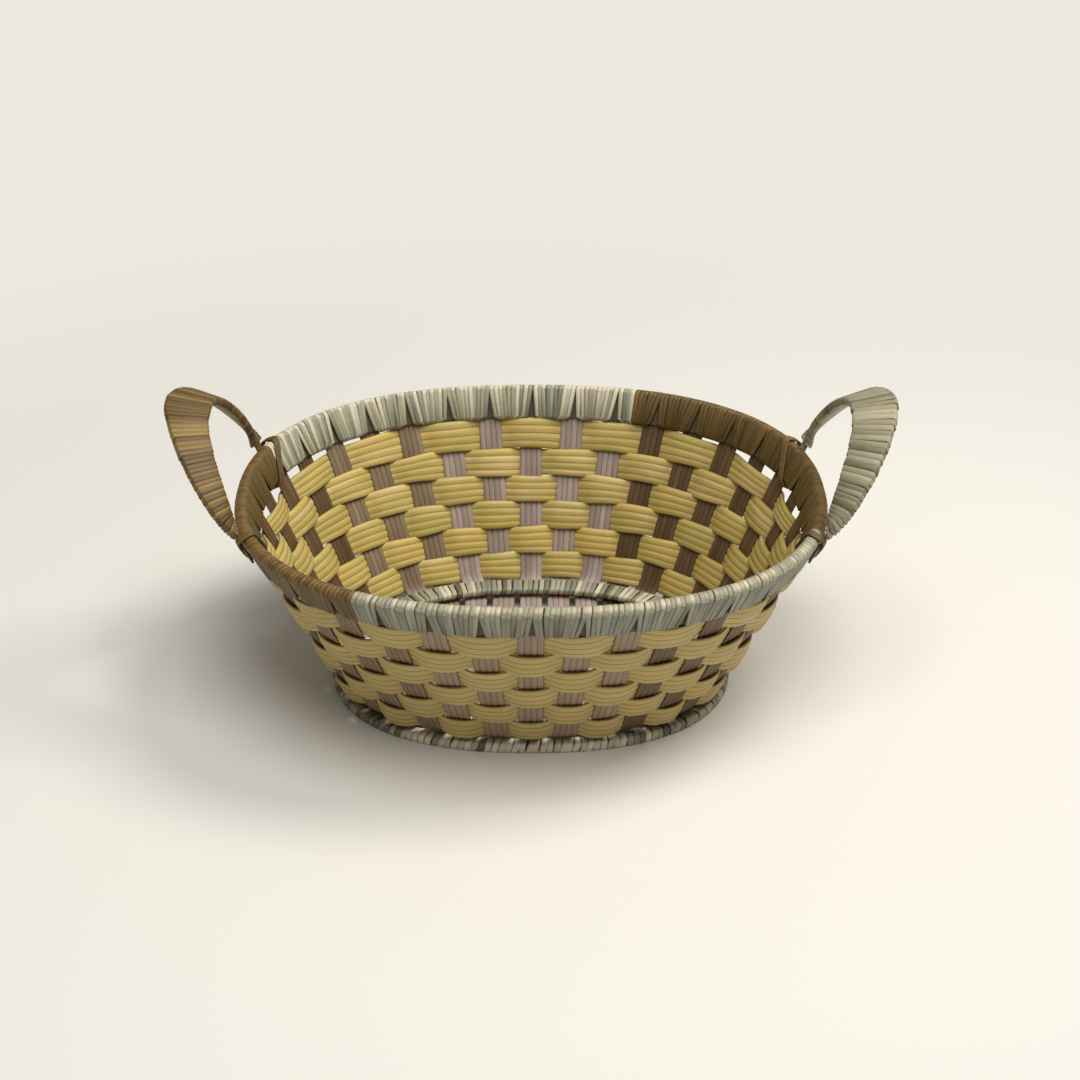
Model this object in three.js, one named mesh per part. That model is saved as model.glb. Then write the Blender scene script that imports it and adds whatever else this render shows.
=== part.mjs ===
// Oval plastic wicker basket with a wound rim, a wound foot ring and two fixed strap handles.
// Flat strips run up one wall from the rim, across the floor and up the other wall, where they
// are the stakes. Woven rows go round the stakes, two hoops clamp the stakes at the rim, and
// flat cord bundles are wound round the rim hoops, the floor rings and the handle straps.
// Millimetres, +Z up, origin on the table under the middle, +X towards one handle.
import * as THREE from 'three';

// Overall sizes
const RIM_LENGTH = 300; // outside the wound rim, end to end
const RIM_WIDTH = 258; // outside the wound rim, front to back
const RIM_HEIGHT = 108.5; // table to the top of the wound rim
const RIM_BAND = 20; // height of the wound rim, measured up the wall
const RIM_FLARE = THREE.MathUtils.degToRad(25); // lean of the wound rim from upright
const BASE_LENGTH = 209; // outside the foot ring, end to end
const BASE_WIDTH = 167; // outside the foot ring, front to back
const OVAL_POWER = 2.34; // exponent of every oval: 2 is an ellipse, more is squarer

// Strips and woven rows
const LONG_STRIP_COUNT = 7; // strips that cross the floor end to end
const CROSS_STRIP_COUNT = 11; // strips that cross the floor front to back
const STRIP_THICKNESS = 1.2;
const STRIP_GAP = 2.2; // open width between neighbouring strips on the floor
const COURSE_COUNT = 6; // woven rows
const WEAVER_THICKNESS = 1.2;
const COURSE_GAP = 1.2; // open height between woven rows
const HOLE_GAP = 1.5; // open height between the wound rim and the top row
const CORNER = 3; // bend of a strip from floor to wall
const FLAT_LAP = 0.5; // a strip or weaver stays flat this far past the piece it crosses

// Hoops, rings and windings
const HOOP_THICKNESS = 1;
const CORD_THICKNESS = 1.2; // one bundle of wound cord
const CORD_GAP = 1.2; // open width between neighbouring loops
const FAN_HEIGHT = 4.5; // rim loops spread from bunched to full width over this height
const RING_CORE_HEIGHT = 2; // foot ring core
const RING_CORE_WIDTH = 5;
const FOOT_CUT = 0.5; // depth of the flats that the basket stands on
const WALL_SETBACK = 3.3; // the wall's foot lies this far inside the foot ring's edge
const INNER_CORE_HEIGHT = 1.2; // flat ring that lies on the floor
const INNER_CORE_WIDTH = 5;
const INNER_CORD = 1;
const INNER_INSET = 4; // floor ring's edge from the bend of the strips

// Handles
const HANDLE_REACH = 20; // middle of the grip beyond the rim
const HANDLE_RISE = 43.5; // middle of the grip above the rim
const HANDLE_WIDTH = 20.4; // strap core at the grip
const HANDLE_FOOT_WIDTH = 5.6; // strap core at its feet
const HANDLE_THICKNESS = 1.6;
const HANDLE_CORD = 1;
const HANDLE_LOOP_COUNT = 18; // wound loops on each handle
const HANDLE_TILT = THREE.MathUtils.degToRad(12); // the grip's inner edge hangs lower
const FOOT_STAKE_COUNT = 2; // each handle foot's place from the end of the oval, in stakes
const FOOT_LIFT = 3; // foot's lower end above the lower edge of the wound rim
const LEG_PULL = 19; // how far a leg keeps rising straight out of the rim
const GRIP_PULL = 29.5; // how far the grip keeps level before it bends down
const TIE_WIDTH = 3.4;
const TIE_THICKNESS = 1.2;

// Clearances
const SEAT = 0.3; // between pieces that touch
const WRAP_SEAT = 0.5; // between a straight-sided core and the cord wound round it
const TIE_SEAT = 0.6; // between a handle foot and the tie that crosses it

// Counts and sizes worked out from those above
const STAKES = 2 * (LONG_STRIP_COUNT + CROSS_STRIP_COUNT);
const QUARTER = STAKES / 4;
const OVAL_STEP_COUNT = 3600;
const COURSE_STEP_COUNT = 400;
const NUDGE = 0.05; // part of a stake, to read the direction along an oval
const STEP_UP = 0.01; // millimetres, to read the direction just above a bend
const flare = Math.tan(RIM_FLARE);
const hoopHalf = RIM_BAND / 2 - CORD_THICKNESS - WRAP_SEAT;
const hoopInside = STRIP_THICKNESS / 2 + SEAT;
const hoopOutside = hoopInside + HOOP_THICKNESS;
const wrapInside = hoopOutside + WRAP_SEAT;
const wrapOutside = wrapInside + CORD_THICKNESS;
const wrapLow = hoopHalf + WRAP_SEAT;
const wrapHigh = wrapLow + CORD_THICKNESS;

const rimInset = wrapOutside * Math.cos(RIM_FLARE) + wrapHigh * Math.sin(RIM_FLARE);
const rimHalfLength = RIM_LENGTH / 2 - rimInset;
const rimHalfWidth = RIM_WIDTH / 2 - rimInset;
const rimMiddle = RIM_HEIGHT - wrapHigh * Math.cos(RIM_FLARE) - wrapOutside * Math.sin(RIM_FLARE);

const ringTop = RING_CORE_HEIGHT + 2 * (WRAP_SEAT + CORD_THICKNESS) - FOOT_CUT;
const weaveStep = STRIP_THICKNESS + SEAT; // height between the two layers of the floor
const floorLow = ringTop + SEAT + STRIP_THICKNESS / 2;
const floorHigh = floorLow + weaveStep;
const wallFoot = floorLow + CORNER;
const footHalfLength = BASE_LENGTH / 2 - WALL_SETBACK;
const footHalfWidth = BASE_WIDTH / 2 - WALL_SETBACK;
const floorHalfLength = footHalfLength - CORNER;
const floorHalfWidth = footHalfWidth - CORNER;
const topCourse = rimMiddle - (wrapHigh + HOLE_GAP) * Math.cos(RIM_FLARE);
const stakeTop = rimMiddle + hoopHalf * Math.cos(RIM_FLARE);

function vector(x, y, z) {
  return new THREE.Vector3(x, y, z);
}

// A point at a distance from another, along a direction
function along(point, direction, distance) {
  return point.clone().addScaledVector(direction, distance);
}

function ovalPoint(halfLength, halfWidth, angle) {
  const power = 2 / OVAL_POWER;
  const c = Math.cos(angle);
  const s = Math.sin(angle);
  const x = halfLength * Math.sign(c) * Math.abs(c) ** power;
  const y = halfWidth * Math.sign(s) * Math.abs(s) ** power;
  return new THREE.Vector2(x, y);
}

// Lengths round the rim's oval, so that stakes can be spaced evenly along it
const rimLengths = [0];
for (let i = 1; i <= OVAL_STEP_COUNT; i++) {
  const before = ovalPoint(rimHalfLength, rimHalfWidth, ((i - 1) / OVAL_STEP_COUNT) * 2 * Math.PI);
  const here = ovalPoint(rimHalfLength, rimHalfWidth, (i / OVAL_STEP_COUNT) * 2 * Math.PI);
  rimLengths.push(rimLengths[i - 1] + here.distanceTo(before));
}
const rimPitch = rimLengths[OVAL_STEP_COUNT] / STAKES;

// The oval's angle at a place counted in stakes from the +X end, anticlockwise
function stakeAngle(place) {
  const turn = ((place % STAKES) + STAKES) % STAKES;
  const wanted = turn * rimPitch;
  let low = 0;
  let high = OVAL_STEP_COUNT;
  while (high - low > 1) {
    const middle = (low + high) >> 1;
    if (rimLengths[middle] <= wanted) low = middle;
    else high = middle;
  }
  const share = (wanted - rimLengths[low]) / (rimLengths[high] - rimLengths[low]);
  return ((low + share) / OVAL_STEP_COUNT) * 2 * Math.PI;
}

// Half-size of the wall at a height: straight at the rim, bowed out below it
function wallHalf(rimHalf, footHalf, z) {
  const drop = rimMiddle - z;
  const height = rimMiddle - wallFoot;
  const bow = (rimHalf - footHalf - flare * height) / (height * height);
  return rimHalf - flare * drop - (drop > 0 ? bow * drop * drop : 0);
}

function wallPoint(place, z) {
  const halfLength = wallHalf(rimHalfLength, footHalfLength, z);
  const halfWidth = wallHalf(rimHalfWidth, footHalfWidth, z);
  const p = ovalPoint(halfLength, halfWidth, stakeAngle(place));
  return vector(p.x, p.y, z);
}

// Heights that share the wall, measured along its slope, into equal woven rows
const courseEdges = [];
{
  const lengths = [0];
  const height = (i) => wallFoot + ((topCourse - wallFoot) * i) / COURSE_STEP_COUNT;
  for (let i = 1; i <= COURSE_STEP_COUNT; i++) {
    const step = wallPoint(0, height(i)).distanceTo(wallPoint(0, height(i - 1)));
    lengths.push(lengths[i - 1] + step);
  }
  for (let row = 0; row <= COURSE_COUNT; row++) {
    const wanted = (lengths[COURSE_STEP_COUNT] * row) / COURSE_COUNT;
    const i = Math.max(1, lengths.findIndex((length) => length >= wanted - 1e-9));
    courseEdges.push(row === 0 ? wallFoot : height(i));
  }
}

// Stakes bend only between pairs of rows, so each row lies against straight stretches
const bends = courseEdges.filter((z, row) => row % 2 === 0 && row < COURSE_COUNT);
bends.push(topCourse, stakeTop);

// Even lanes for the strips on the floor
const longLanes = (LONG_STRIP_COUNT - 1) / 2;
const crossLanes = (CROSS_STRIP_COUNT - 1) / 2;
const lastLong = ovalPoint(floorHalfLength, floorHalfWidth, stakeAngle(longLanes));
const lastCross = ovalPoint(floorHalfLength, floorHalfWidth, stakeAngle(QUARTER - crossLanes));
const longPitch = lastLong.y / longLanes;
const crossPitch = lastCross.x / crossLanes;
const stripWidth = Math.min(longPitch, crossPitch) - STRIP_GAP;
const flatHalf = stripWidth / 2 + FLAT_LAP;

// Where a stake is at a height, with the directions up it, beside it and out of the basket
function stakeFrame(stake, z) {
  let i = 0;
  while (i < bends.length - 2 && z > bends[i + 1]) i++;
  const low = wallPoint(stake, bends[i]);
  const high = wallPoint(stake, bends[i + 1]);
  const up = high.clone().sub(low).normalize();
  const point = low.lerp(high, (z - bends[i]) / (bends[i + 1] - bends[i]));
  const beside = wallPoint(stake + NUDGE, z).sub(wallPoint(stake - NUDGE, z)).normalize();
  const out = beside.clone().cross(up).normalize();
  return { point, up, beside, out };
}

// The same at a place between stakes, on the straight-sided ring that hoops follow
function ringFrame(place, z) {
  const stake = Math.floor(place);
  const here = stakeFrame(stake, z);
  const next = stakeFrame(stake + 1, z);
  const pitch = here.point.distanceTo(next.point);
  const lap = flatHalf / pitch;
  const t = place - stake;
  if (t <= lap) return { ...here, point: along(here.point, here.beside, t * pitch) };
  if (t >= 1 - lap) return { ...next, point: along(next.point, next.beside, (t - 1) * pitch) };
  const share = (t - lap) / (1 - 2 * lap);
  const start = along(here.point, here.beside, flatHalf);
  const end = along(next.point, next.beside, -flatHalf);
  return {
    point: start.clone().lerp(end, share),
    up: here.up.clone().lerp(next.up, share).normalize(),
    beside: end.clone().sub(start).normalize(),
    out: here.out.clone().lerp(next.out, share).normalize(),
  };
}

// A point in a wall frame: so far out of the wall and so far up it
function offset(frame, out, up) {
  return along(along(frame.point, frame.out, out), frame.up, up);
}

// A closed solid through four-cornered sections, joined end to end where closed. Each side is
// split along its second diagonal only where that is clearly the shorter one.
const SHORTER = 0.9;
function ribbon(sections, closed = false) {
  const cornerCount = sections[0].length;
  const positions = [];
  const faces = [];
  for (const section of sections) {
    for (const p of section) positions.push(p.x, p.y, p.z);
  }
  const count = sections.length;
  for (let i = 0; i < (closed ? count : count - 1); i++) {
    const here = i * cornerCount;
    const next = ((i + 1) % count) * cornerCount;
    for (let c = 0; c < cornerCount; c++) {
      const d = (c + 1) % cornerCount;
      const first = sections[i][c].distanceTo(sections[(i + 1) % count][d]);
      const second = sections[i][d].distanceTo(sections[(i + 1) % count][c]);
      if (second < SHORTER * first) {
        faces.push(here + c, next + c, here + d, here + d, next + c, next + d);
      } else {
        faces.push(here + c, next + c, next + d, here + c, next + d, here + d);
      }
    }
  }
  if (!closed) {
    const last = (count - 1) * cornerCount;
    faces.push(0, 1, 2, 0, 2, 3, last, last + 2, last + 1, last, last + 3, last + 2);
  }
  if (signedVolume(positions, faces) < 0) faces.reverse();
  const geometry = new THREE.BufferGeometry();
  geometry.setAttribute('position', new THREE.Float32BufferAttribute(positions, 3));
  geometry.setIndex(faces);
  geometry.computeVertexNormals();
  return geometry;
}

function signedVolume(positions, faces) {
  const corner = (i) => new THREE.Vector3().fromArray(positions, i * 3);
  let volume = 0;
  for (let i = 0; i < faces.length; i += 3) {
    volume += corner(faces[i]).dot(corner(faces[i + 1]).cross(corner(faces[i + 2]))) / 6;
  }
  return volume;
}

// A rectangular section about a middle point
function section(middle, across, through, halfWidth, halfThickness) {
  const left = along(middle, across, -halfWidth);
  const right = along(middle, across, halfWidth);
  return [
    along(left, through, -halfThickness),
    along(right, through, -halfThickness),
    along(right, through, halfThickness),
    along(left, through, halfThickness),
  ];
}

// Least gap between neighbouring loops of a winding, measured on points along their edges
const GAP_STEP_COUNT = 6;
function leastGap(sections, perLoop) {
  const steps = GAP_STEP_COUNT;
  const right = [];
  const left = [];
  for (let i = 0; i + 1 < sections.length; i++) {
    for (let s = 0; s < steps; s++) {
      const at = (corner) => sections[i][corner].clone().lerp(sections[i + 1][corner], s / steps);
      left.push([at(0), at(3)]);
      right.push([at(1), at(2)]);
    }
  }
  const loop = perLoop * steps;
  let least = Infinity;
  for (let i = 0; i < right.length; i++) {
    const end = Math.min(left.length, i + 2 * loop);
    for (let j = i + loop / 2; j < end; j++) {
      for (const a of right[i]) {
        for (const b of left[j]) least = Math.min(least, a.distanceTo(b));
      }
    }
  }
  return least;
}

const basket = new THREE.Group();

function add(name, geometry, color, roughness) {
  const material = new THREE.MeshStandardMaterial({ color, roughness, metalness: 0 });
  const mesh = new THREE.Mesh(geometry, material);
  mesh.name = name;
  basket.add(mesh);
}

function addWinding(name, sections, perLoop, color) {
  console.log(`${name}: least gap to itself ${leastGap(sections, perLoop).toFixed(2)} mm`);
  add(name, ribbon(sections), color, WOUND_ROUGHNESS);
}

const WOUND_ROUGHNESS = 0.6;
const STRIP_ROUGHNESS = 0.5;
const GOLD = '#b3a05c';
const MAUVE = '#a08f7d';
const BROWN = '#5c452a';
const UMBER = '#7d6852';
const GREY_CORD = '#9a9a88';
const BROWN_CORD = '#5d4f33';
const CREAM_CORD = '#b3a992';
const CORE = '#8b7b58';

// Strips: one wall, the floor and the other wall

// Sections of a strip up its stake, from the bend at the floor to the rim
function stakeSections(stake, turn) {
  return bends.map((z, i) => {
    const out = stakeFrame(stake, z).out;
    if (i > 0 && i < bends.length - 1) out.add(stakeFrame(stake, z + STEP_UP).out).normalize();
    const across = stakeFrame(stake, z).beside.multiplyScalar(turn);
    return section(wallPoint(stake, z), across, out, stripWidth / 2, STRIP_THICKNESS / 2);
  });
}

// Where a lane of the floor meets the bend, measured from the middle of the floor
function laneEnd(lane, halfAcross, halfAlong) {
  return halfAlong * (1 - Math.abs(lane / halfAcross) ** OVAL_POWER) ** (1 / OVAL_POWER);
}

// A whole strip, from the rim at one stake to the rim at the opposite one. The floor stretch
// rises over every second strip that it crosses and passes under the others.
function strip({ stakes, direction, across, lane, end, crossings, parity }) {
  const down = vector(0, 0, -1);
  const floorSection = (distance, z) => {
    const middle = along(along(vector(0, 0, z), direction, distance), across, lane);
    return section(middle, across, down, stripWidth / 2, STRIP_THICKNESS / 2);
  };
  const sections = stakeSections(stakes[0], 1).reverse();
  sections.push(floorSection(end, floorLow));
  crossings.forEach((distance, i) => {
    const z = (i + parity) % 2 === 0 ? floorHigh : floorLow;
    sections.push(floorSection(distance + flatHalf, z));
    sections.push(floorSection(distance - flatHalf, z));
  });
  sections.push(floorSection(-end, floorLow));
  sections.push(...stakeSections(stakes[1], -1));
  return ribbon(sections);
}

const crossPlaces = [];
for (let i = crossLanes; i >= -crossLanes; i--) crossPlaces.push(i * crossPitch);
const longPlaces = [];
for (let i = longLanes; i >= -longLanes; i--) longPlaces.push(i * longPitch);

for (let i = -longLanes; i <= longLanes; i++) {
  const lane = i * longPitch;
  const geometry = strip({
    stakes: [i, STAKES / 2 - i],
    direction: vector(1, 0, 0),
    across: vector(0, 1, 0),
    lane,
    end: laneEnd(lane, floorHalfWidth, floorHalfLength),
    crossings: crossPlaces,
    parity: (i + longLanes) % 2,
  });
  add(`long_strip_${i + longLanes + 1}`, geometry, BROWN, STRIP_ROUGHNESS);
}

// A cross strip's own lanes run from +X to -X as its stakes go round from the +X end
const MAUVE_LANES = 2; // mauve strips on each side of the middle one
for (let i = -crossLanes; i <= crossLanes; i++) {
  const lane = i * crossPitch;
  const stake = QUARTER + i;
  const geometry = strip({
    stakes: [stake, STAKES - stake],
    direction: vector(0, 1, 0),
    across: vector(-1, 0, 0),
    lane,
    end: laneEnd(lane, floorHalfLength, floorHalfWidth),
    crossings: longPlaces,
    parity: (i + crossLanes + 1) % 2,
  });
  let color = MAUVE;
  if (i < -MAUVE_LANES) color = BROWN;
  if (i > MAUVE_LANES) color = UMBER;
  add(`cross_strip_${i + crossLanes + 1}`, geometry, color, STRIP_ROUGHNESS);
}

// Woven rows, counted from the rim: outside every second stake, inside the others
const weaverOut = STRIP_THICKNESS / 2 + SEAT + WEAVER_THICKNESS / 2;
for (let row = 1; row <= COURSE_COUNT; row++) {
  const low = courseEdges[COURSE_COUNT - row];
  const high = courseEdges[COURSE_COUNT - row + 1];
  const length = (stake) => wallPoint(stake, high).distanceTo(wallPoint(stake, low));
  const halfWidth = (Math.min(length(0), length(QUARTER)) - COURSE_GAP) / 2;
  const sections = [];
  for (let stake = 0; stake < STAKES; stake++) {
    const frame = stakeFrame(stake, (low + high) / 2);
    const out = (stake + row) % 2 === 1 ? weaverOut : -weaverOut;
    for (const lap of [-flatHalf, flatHalf]) {
      const middle = along(offset(frame, out, 0), frame.beside, lap);
      sections.push(section(middle, frame.up, frame.out, halfWidth, WEAVER_THICKNESS / 2));
    }
  }
  add(`weaver_${row}`, ribbon(sections, true), GOLD, STRIP_ROUGHNESS);
}

// Rim hoops: flat bands that clamp the tops of the stakes between them
function rimHoop(inside, outside) {
  const sections = [];
  for (let stake = 0; stake < STAKES; stake++) {
    const frame = stakeFrame(stake, rimMiddle);
    for (const lap of [-flatHalf, flatHalf]) {
      const middle = along(offset(frame, (inside + outside) / 2, 0), frame.beside, lap);
      sections.push(section(middle, frame.up, frame.out, hoopHalf, (outside - inside) / 2));
    }
  }
  return ribbon(sections, true);
}
add('rim_outer_hoop', rimHoop(hoopInside, hoopOutside), CORE, STRIP_ROUGHNESS);
add('rim_inner_hoop', rimHoop(-hoopOutside, -hoopInside), CORE, STRIP_ROUGHNESS);

// Rim windings: two loops to each gap between stakes. A loop is bunched where it passes under
// the hoops between two stakes, and spreads to full width on the faces and over the top.
const RIM_LOOP_SECTION_COUNT = 6;
const TOP_TURN = 0.35; // share of a loop's advance that is used up on each face
const topPitch = stakeFrame(0, topCourse).point.distanceTo(stakeFrame(1, topCourse).point);
const gapHalf = (topPitch - stripWidth) / 2 - 2 * SEAT;
const bunchPlace = gapHalf / 2 / rimPitch;
const bunchHalf = (gapHalf - CORD_GAP) / 2 / rimPitch;
const loopHalf = 1 / 4 - CORD_GAP / 2 / rimPitch;

// A section that spans a little of the rim, with its inner and outer edges as [out, up] offsets
function rimSection(place, half, inner, outer) {
  const left = ringFrame(place - half, rimMiddle);
  const right = ringFrame(place + half, rimMiddle);
  return [
    offset(left, ...inner),
    offset(right, ...inner),
    offset(right, ...outer),
    offset(left, ...outer),
  ];
}

function rimWinding(firstStake, lastStake) {
  const sections = [];
  const loops = 2 * (lastStake - firstStake);
  const spread = (loop) => firstStake + (loop + 0.5) / 2;
  const bunch = (loop) => {
    const gap = firstStake + Math.floor(loop / 2) + 0.5;
    return loop % 2 === 0 ? gap - bunchPlace : gap + bunchPlace;
  };
  const fan = FAN_HEIGHT - wrapHigh;
  const push = (place, half, face, inner, outer) => {
    sections.push(rimSection(place, half, [face * wrapInside, inner], [face * wrapOutside, outer]));
  };
  for (let loop = 0; loop < loops; loop++) {
    const start = spread(loop);
    const end = spread(loop + 1);
    const turn = TOP_TURN * (end - start);
    push(bunch(loop), bunchHalf, 1, -wrapLow, -wrapHigh);
    push(start, loopHalf, 1, fan, fan);
    push(start + turn, loopHalf, 1, wrapLow, wrapHigh);
    push(end - turn, loopHalf, -1, wrapLow, wrapHigh);
    push(end, loopHalf, -1, fan, fan);
    push(bunch(loop + 1), bunchHalf, -1, -wrapLow, -wrapHigh);
  }
  return sections;
}

// Colours change at these stakes: brown at the right and left ends, grey between them
const COLOUR_STAKES = [-2, 6, 16, 24];
const rimSectionsOfColour = [
  ['rim_winding_brown_right', COLOUR_STAKES[0], COLOUR_STAKES[1], BROWN_CORD],
  ['rim_winding_grey_back', COLOUR_STAKES[1], COLOUR_STAKES[2], GREY_CORD],
  ['rim_winding_brown_left', COLOUR_STAKES[2], COLOUR_STAKES[3], BROWN_CORD],
  ['rim_winding_grey_front', COLOUR_STAKES[3], COLOUR_STAKES[0] + STAKES, GREY_CORD],
];
for (const [name, first, last, color] of rimSectionsOfColour) {
  addWinding(name, rimWinding(first, last), RIM_LOOP_SECTION_COUNT, color);
}

// Wound rings: a core with straight sides, and loops that lie square across its top and sides
// and step on to the next place underneath, where no loop reaches below the table
const SQUARE_LOOP_SECTION_COUNT = 4;
function ringPlace(ring, place) {
  const at = (stake) => ovalPoint(ring.halfLength, ring.halfWidth, stakeAngle(stake));
  const outAt = (stake) => {
    const way = at(stake + NUDGE).sub(at(stake - NUDGE)).normalize();
    return vector(way.y, -way.x, 0);
  };
  const stake = Math.floor(place);
  const share = place - stake;
  const p = at(stake).lerp(at(stake + 1), share);
  return {
    point: vector(p.x, p.y, 0),
    up: vector(0, 0, 1),
    out: outAt(stake).lerp(outAt(stake + 1), share).normalize(),
  };
}

function ringCore(ring) {
  const sections = [];
  for (let stake = 0; stake < STAKES; stake++) {
    const frame = ringPlace(ring, stake);
    const middle = offset(frame, 0, ring.low + ring.height / 2);
    sections.push(section(middle, frame.out, frame.up, ring.width / 2, ring.height / 2));
  }
  return ribbon(sections, true);
}

function ringWinding(ring, firstStake) {
  const pitch = ringPlace(ring, 0).point.distanceTo(ringPlace(ring, 1).point);
  const half = 1 / 2 - CORD_GAP / 2 / pitch;
  const inside = ring.width / 2 + WRAP_SEAT;
  const outside = inside + ring.cord;
  const sections = [];
  const corner = (place, out, up) => {
    const left = ringPlace(ring, place - half);
    const right = ringPlace(ring, place + half);
    const inner = up > 0 ? ring.low + ring.height + WRAP_SEAT : ring.low - WRAP_SEAT;
    const outer = Math.max(inner + up * ring.cord, 0);
    sections.push([
      offset(left, out * inside, inner),
      offset(right, out * inside, inner),
      offset(right, out * outside, outer),
      offset(left, out * outside, outer),
    ]);
  };
  for (let loop = 0; loop < STAKES / 2; loop++) {
    const place = firstStake + loop + 0.5;
    corner(place, 1, -1);
    corner(place, 1, 1);
    corner(place, -1, 1);
    corner(place, -1, -1);
  }
  return sections;
}

function addRing(name, ring, color) {
  add(`${name}_core`, ringCore(ring), CORE, STRIP_ROUGHNESS);
  addWinding(`${name}_winding_back`, ringWinding(ring, 0), SQUARE_LOOP_SECTION_COUNT, color);
  addWinding(`${name}_winding_front`, ringWinding(ring, STAKES / 2), SQUARE_LOOP_SECTION_COUNT, color);
}

// Foot ring, under the bend of the strips, with flats cut in its loops where they stand
const footInset = RING_CORE_WIDTH / 2 + WRAP_SEAT + CORD_THICKNESS;
addRing('foot_ring', {
  halfLength: BASE_LENGTH / 2 - footInset,
  halfWidth: BASE_WIDTH / 2 - footInset,
  low: WRAP_SEAT + CORD_THICKNESS - FOOT_CUT,
  height: RING_CORE_HEIGHT,
  width: RING_CORE_WIDTH,
  cord: CORD_THICKNESS,
}, CREAM_CORD);

// Floor ring, flat on the woven floor
const floorInset = INNER_INSET + INNER_CORE_WIDTH / 2 + WRAP_SEAT + INNER_CORD;
addRing('floor_ring', {
  halfLength: floorHalfLength - floorInset,
  halfWidth: floorHalfWidth - floorInset,
  low: floorHigh + STRIP_THICKNESS / 2 + SEAT + INNER_CORD + WRAP_SEAT,
  height: INNER_CORE_HEIGHT,
  width: INNER_CORE_WIDTH,
  cord: INNER_CORD,
}, GREY_CORD);

// Handles: a strap that lies flat on the rim at both feet and widens towards the grip. Across it
// is level all the way, square to its run as seen from above, and tilts a little at the grip.
// Frames run from one foot's top to the other: middle, across, through and half width.
function handleFrames(side) {
  const place = side > 0 ? FOOT_STAKE_COUNT : STAKES / 2 - FOOT_STAKE_COUNT;
  const foot = ringFrame(place, rimMiddle);
  const footOut = wrapOutside + SEAT + HANDLE_THICKNESS / 2;
  const start = offset(foot, footOut, wrapHigh + TIE_THICKNESS + 2 * SEAT);
  const grip = vector(side * (RIM_LENGTH / 2 + HANDLE_REACH), 0, RIM_HEIGHT + HANDLE_RISE);
  const leg = new THREE.CubicBezierCurve3(
    start,
    along(start, foot.up, LEG_PULL),
    along(grip, vector(0, 1, 0), GRIP_PULL),
    grip,
  );
  const half = HANDLE_LOOP_COUNT / 2;
  const frames = [];
  for (let i = 0; i <= half; i++) {
    const share = i / half;
    const way = leg.getTangentAt(share);
    const across = vector(0, 0, -side).cross(way).normalize();
    across.applyAxisAngle(way, side * HANDLE_TILT * THREE.MathUtils.smoothstep(share, 0, 1));
    frames.push({
      middle: leg.getPointAt(share),
      across,
      through: way.clone().cross(across).multiplyScalar(-side),
      half: THREE.MathUtils.lerp(HANDLE_FOOT_WIDTH, HANDLE_WIDTH, share) / 2,
    });
  }
  const low = { ...frames[0], middle: offset(foot, footOut, FOOT_LIFT - wrapHigh) };
  const mirrored = (p) => vector(p.x, -p.y, p.z);
  const mirror = (frame) => ({
    middle: mirrored(frame.middle),
    across: mirrored(frame.across),
    through: mirrored(frame.through),
    half: frame.half,
  });
  const others = frames.slice(0, half).reverse().map(mirror);
  return { low, loops: [...frames, ...others], end: mirror(low) };
}

function handleCore({ low, loops, end }) {
  const sections = [low, ...loops, end].map((frame) =>
    section(frame.middle, frame.across, frame.through, frame.half, HANDLE_THICKNESS / 2),
  );
  return ribbon(sections);
}

function handleWinding({ loops }) {
  const margin = CORD_GAP / 2 / loops[0].middle.distanceTo(loops[1].middle);
  const inner = WRAP_SEAT;
  const outer = WRAP_SEAT + HANDLE_CORD;
  const sections = [];
  const corner = (from, to, across, through) => {
    const at = (share, extra) => {
      const middle = from.middle.clone().lerp(to.middle, share);
      const sideways = from.across.clone().lerp(to.across, share);
      const upwards = from.through.clone().lerp(to.through, share);
      const half = THREE.MathUtils.lerp(from.half, to.half, share) + extra;
      const high = HANDLE_THICKNESS / 2 + extra;
      return along(along(middle, sideways, across * half), upwards, through * high);
    };
    const end = 1 - margin;
    sections.push([at(margin, inner), at(end, inner), at(end, outer), at(margin, outer)]);
  };
  for (let i = 0; i + 1 < loops.length; i++) {
    corner(loops[i], loops[i + 1], 1, -1);
    corner(loops[i], loops[i + 1], 1, 1);
    corner(loops[i], loops[i + 1], -1, 1);
    corner(loops[i], loops[i + 1], -1, -1);
  }
  return sections;
}

// Ties: a slanted closed band on each foot. It comes out of the hole beside the foot's stake,
// crosses the foot, goes over the rim on the foot's other side and slants back down inside.
const tieHalf = TIE_WIDTH / 2 / rimPitch;
const tieLow = (stripWidth / 2 + FLAT_LAP) / rimPitch + tieHalf;
const tieHigh = (HANDLE_FOOT_WIDTH / 2 + FLAT_LAP) / rimPitch + tieHalf;
function handleTie(place, way) {
  const against = wrapOutside + SEAT;
  const over = against + HANDLE_THICKNESS + TIE_SEAT;
  const level = wrapHigh + SEAT;
  const meet = (level * (tieLow - 3 * tieHigh)) / (tieLow + tieHigh);
  const t = TIE_THICKNESS;
  const low = place - way * tieLow;
  const edge = place - way * tieHigh;
  const high = place + way * tieHigh;
  return ribbon(
    [
      rimSection(low, tieHalf, [-against, -level], [-against - t, -level - t]),
      rimSection(low, tieHalf, [against, -level], [against + t, -level - t]),
      rimSection(edge, tieHalf, [over, meet], [over + t, meet]),
      rimSection(high, tieHalf, [over, level], [over + t, level + t]),
      rimSection(high, tieHalf, [-against, level], [-against - t, level + t]),
    ],
    true,
  );
}

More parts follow.
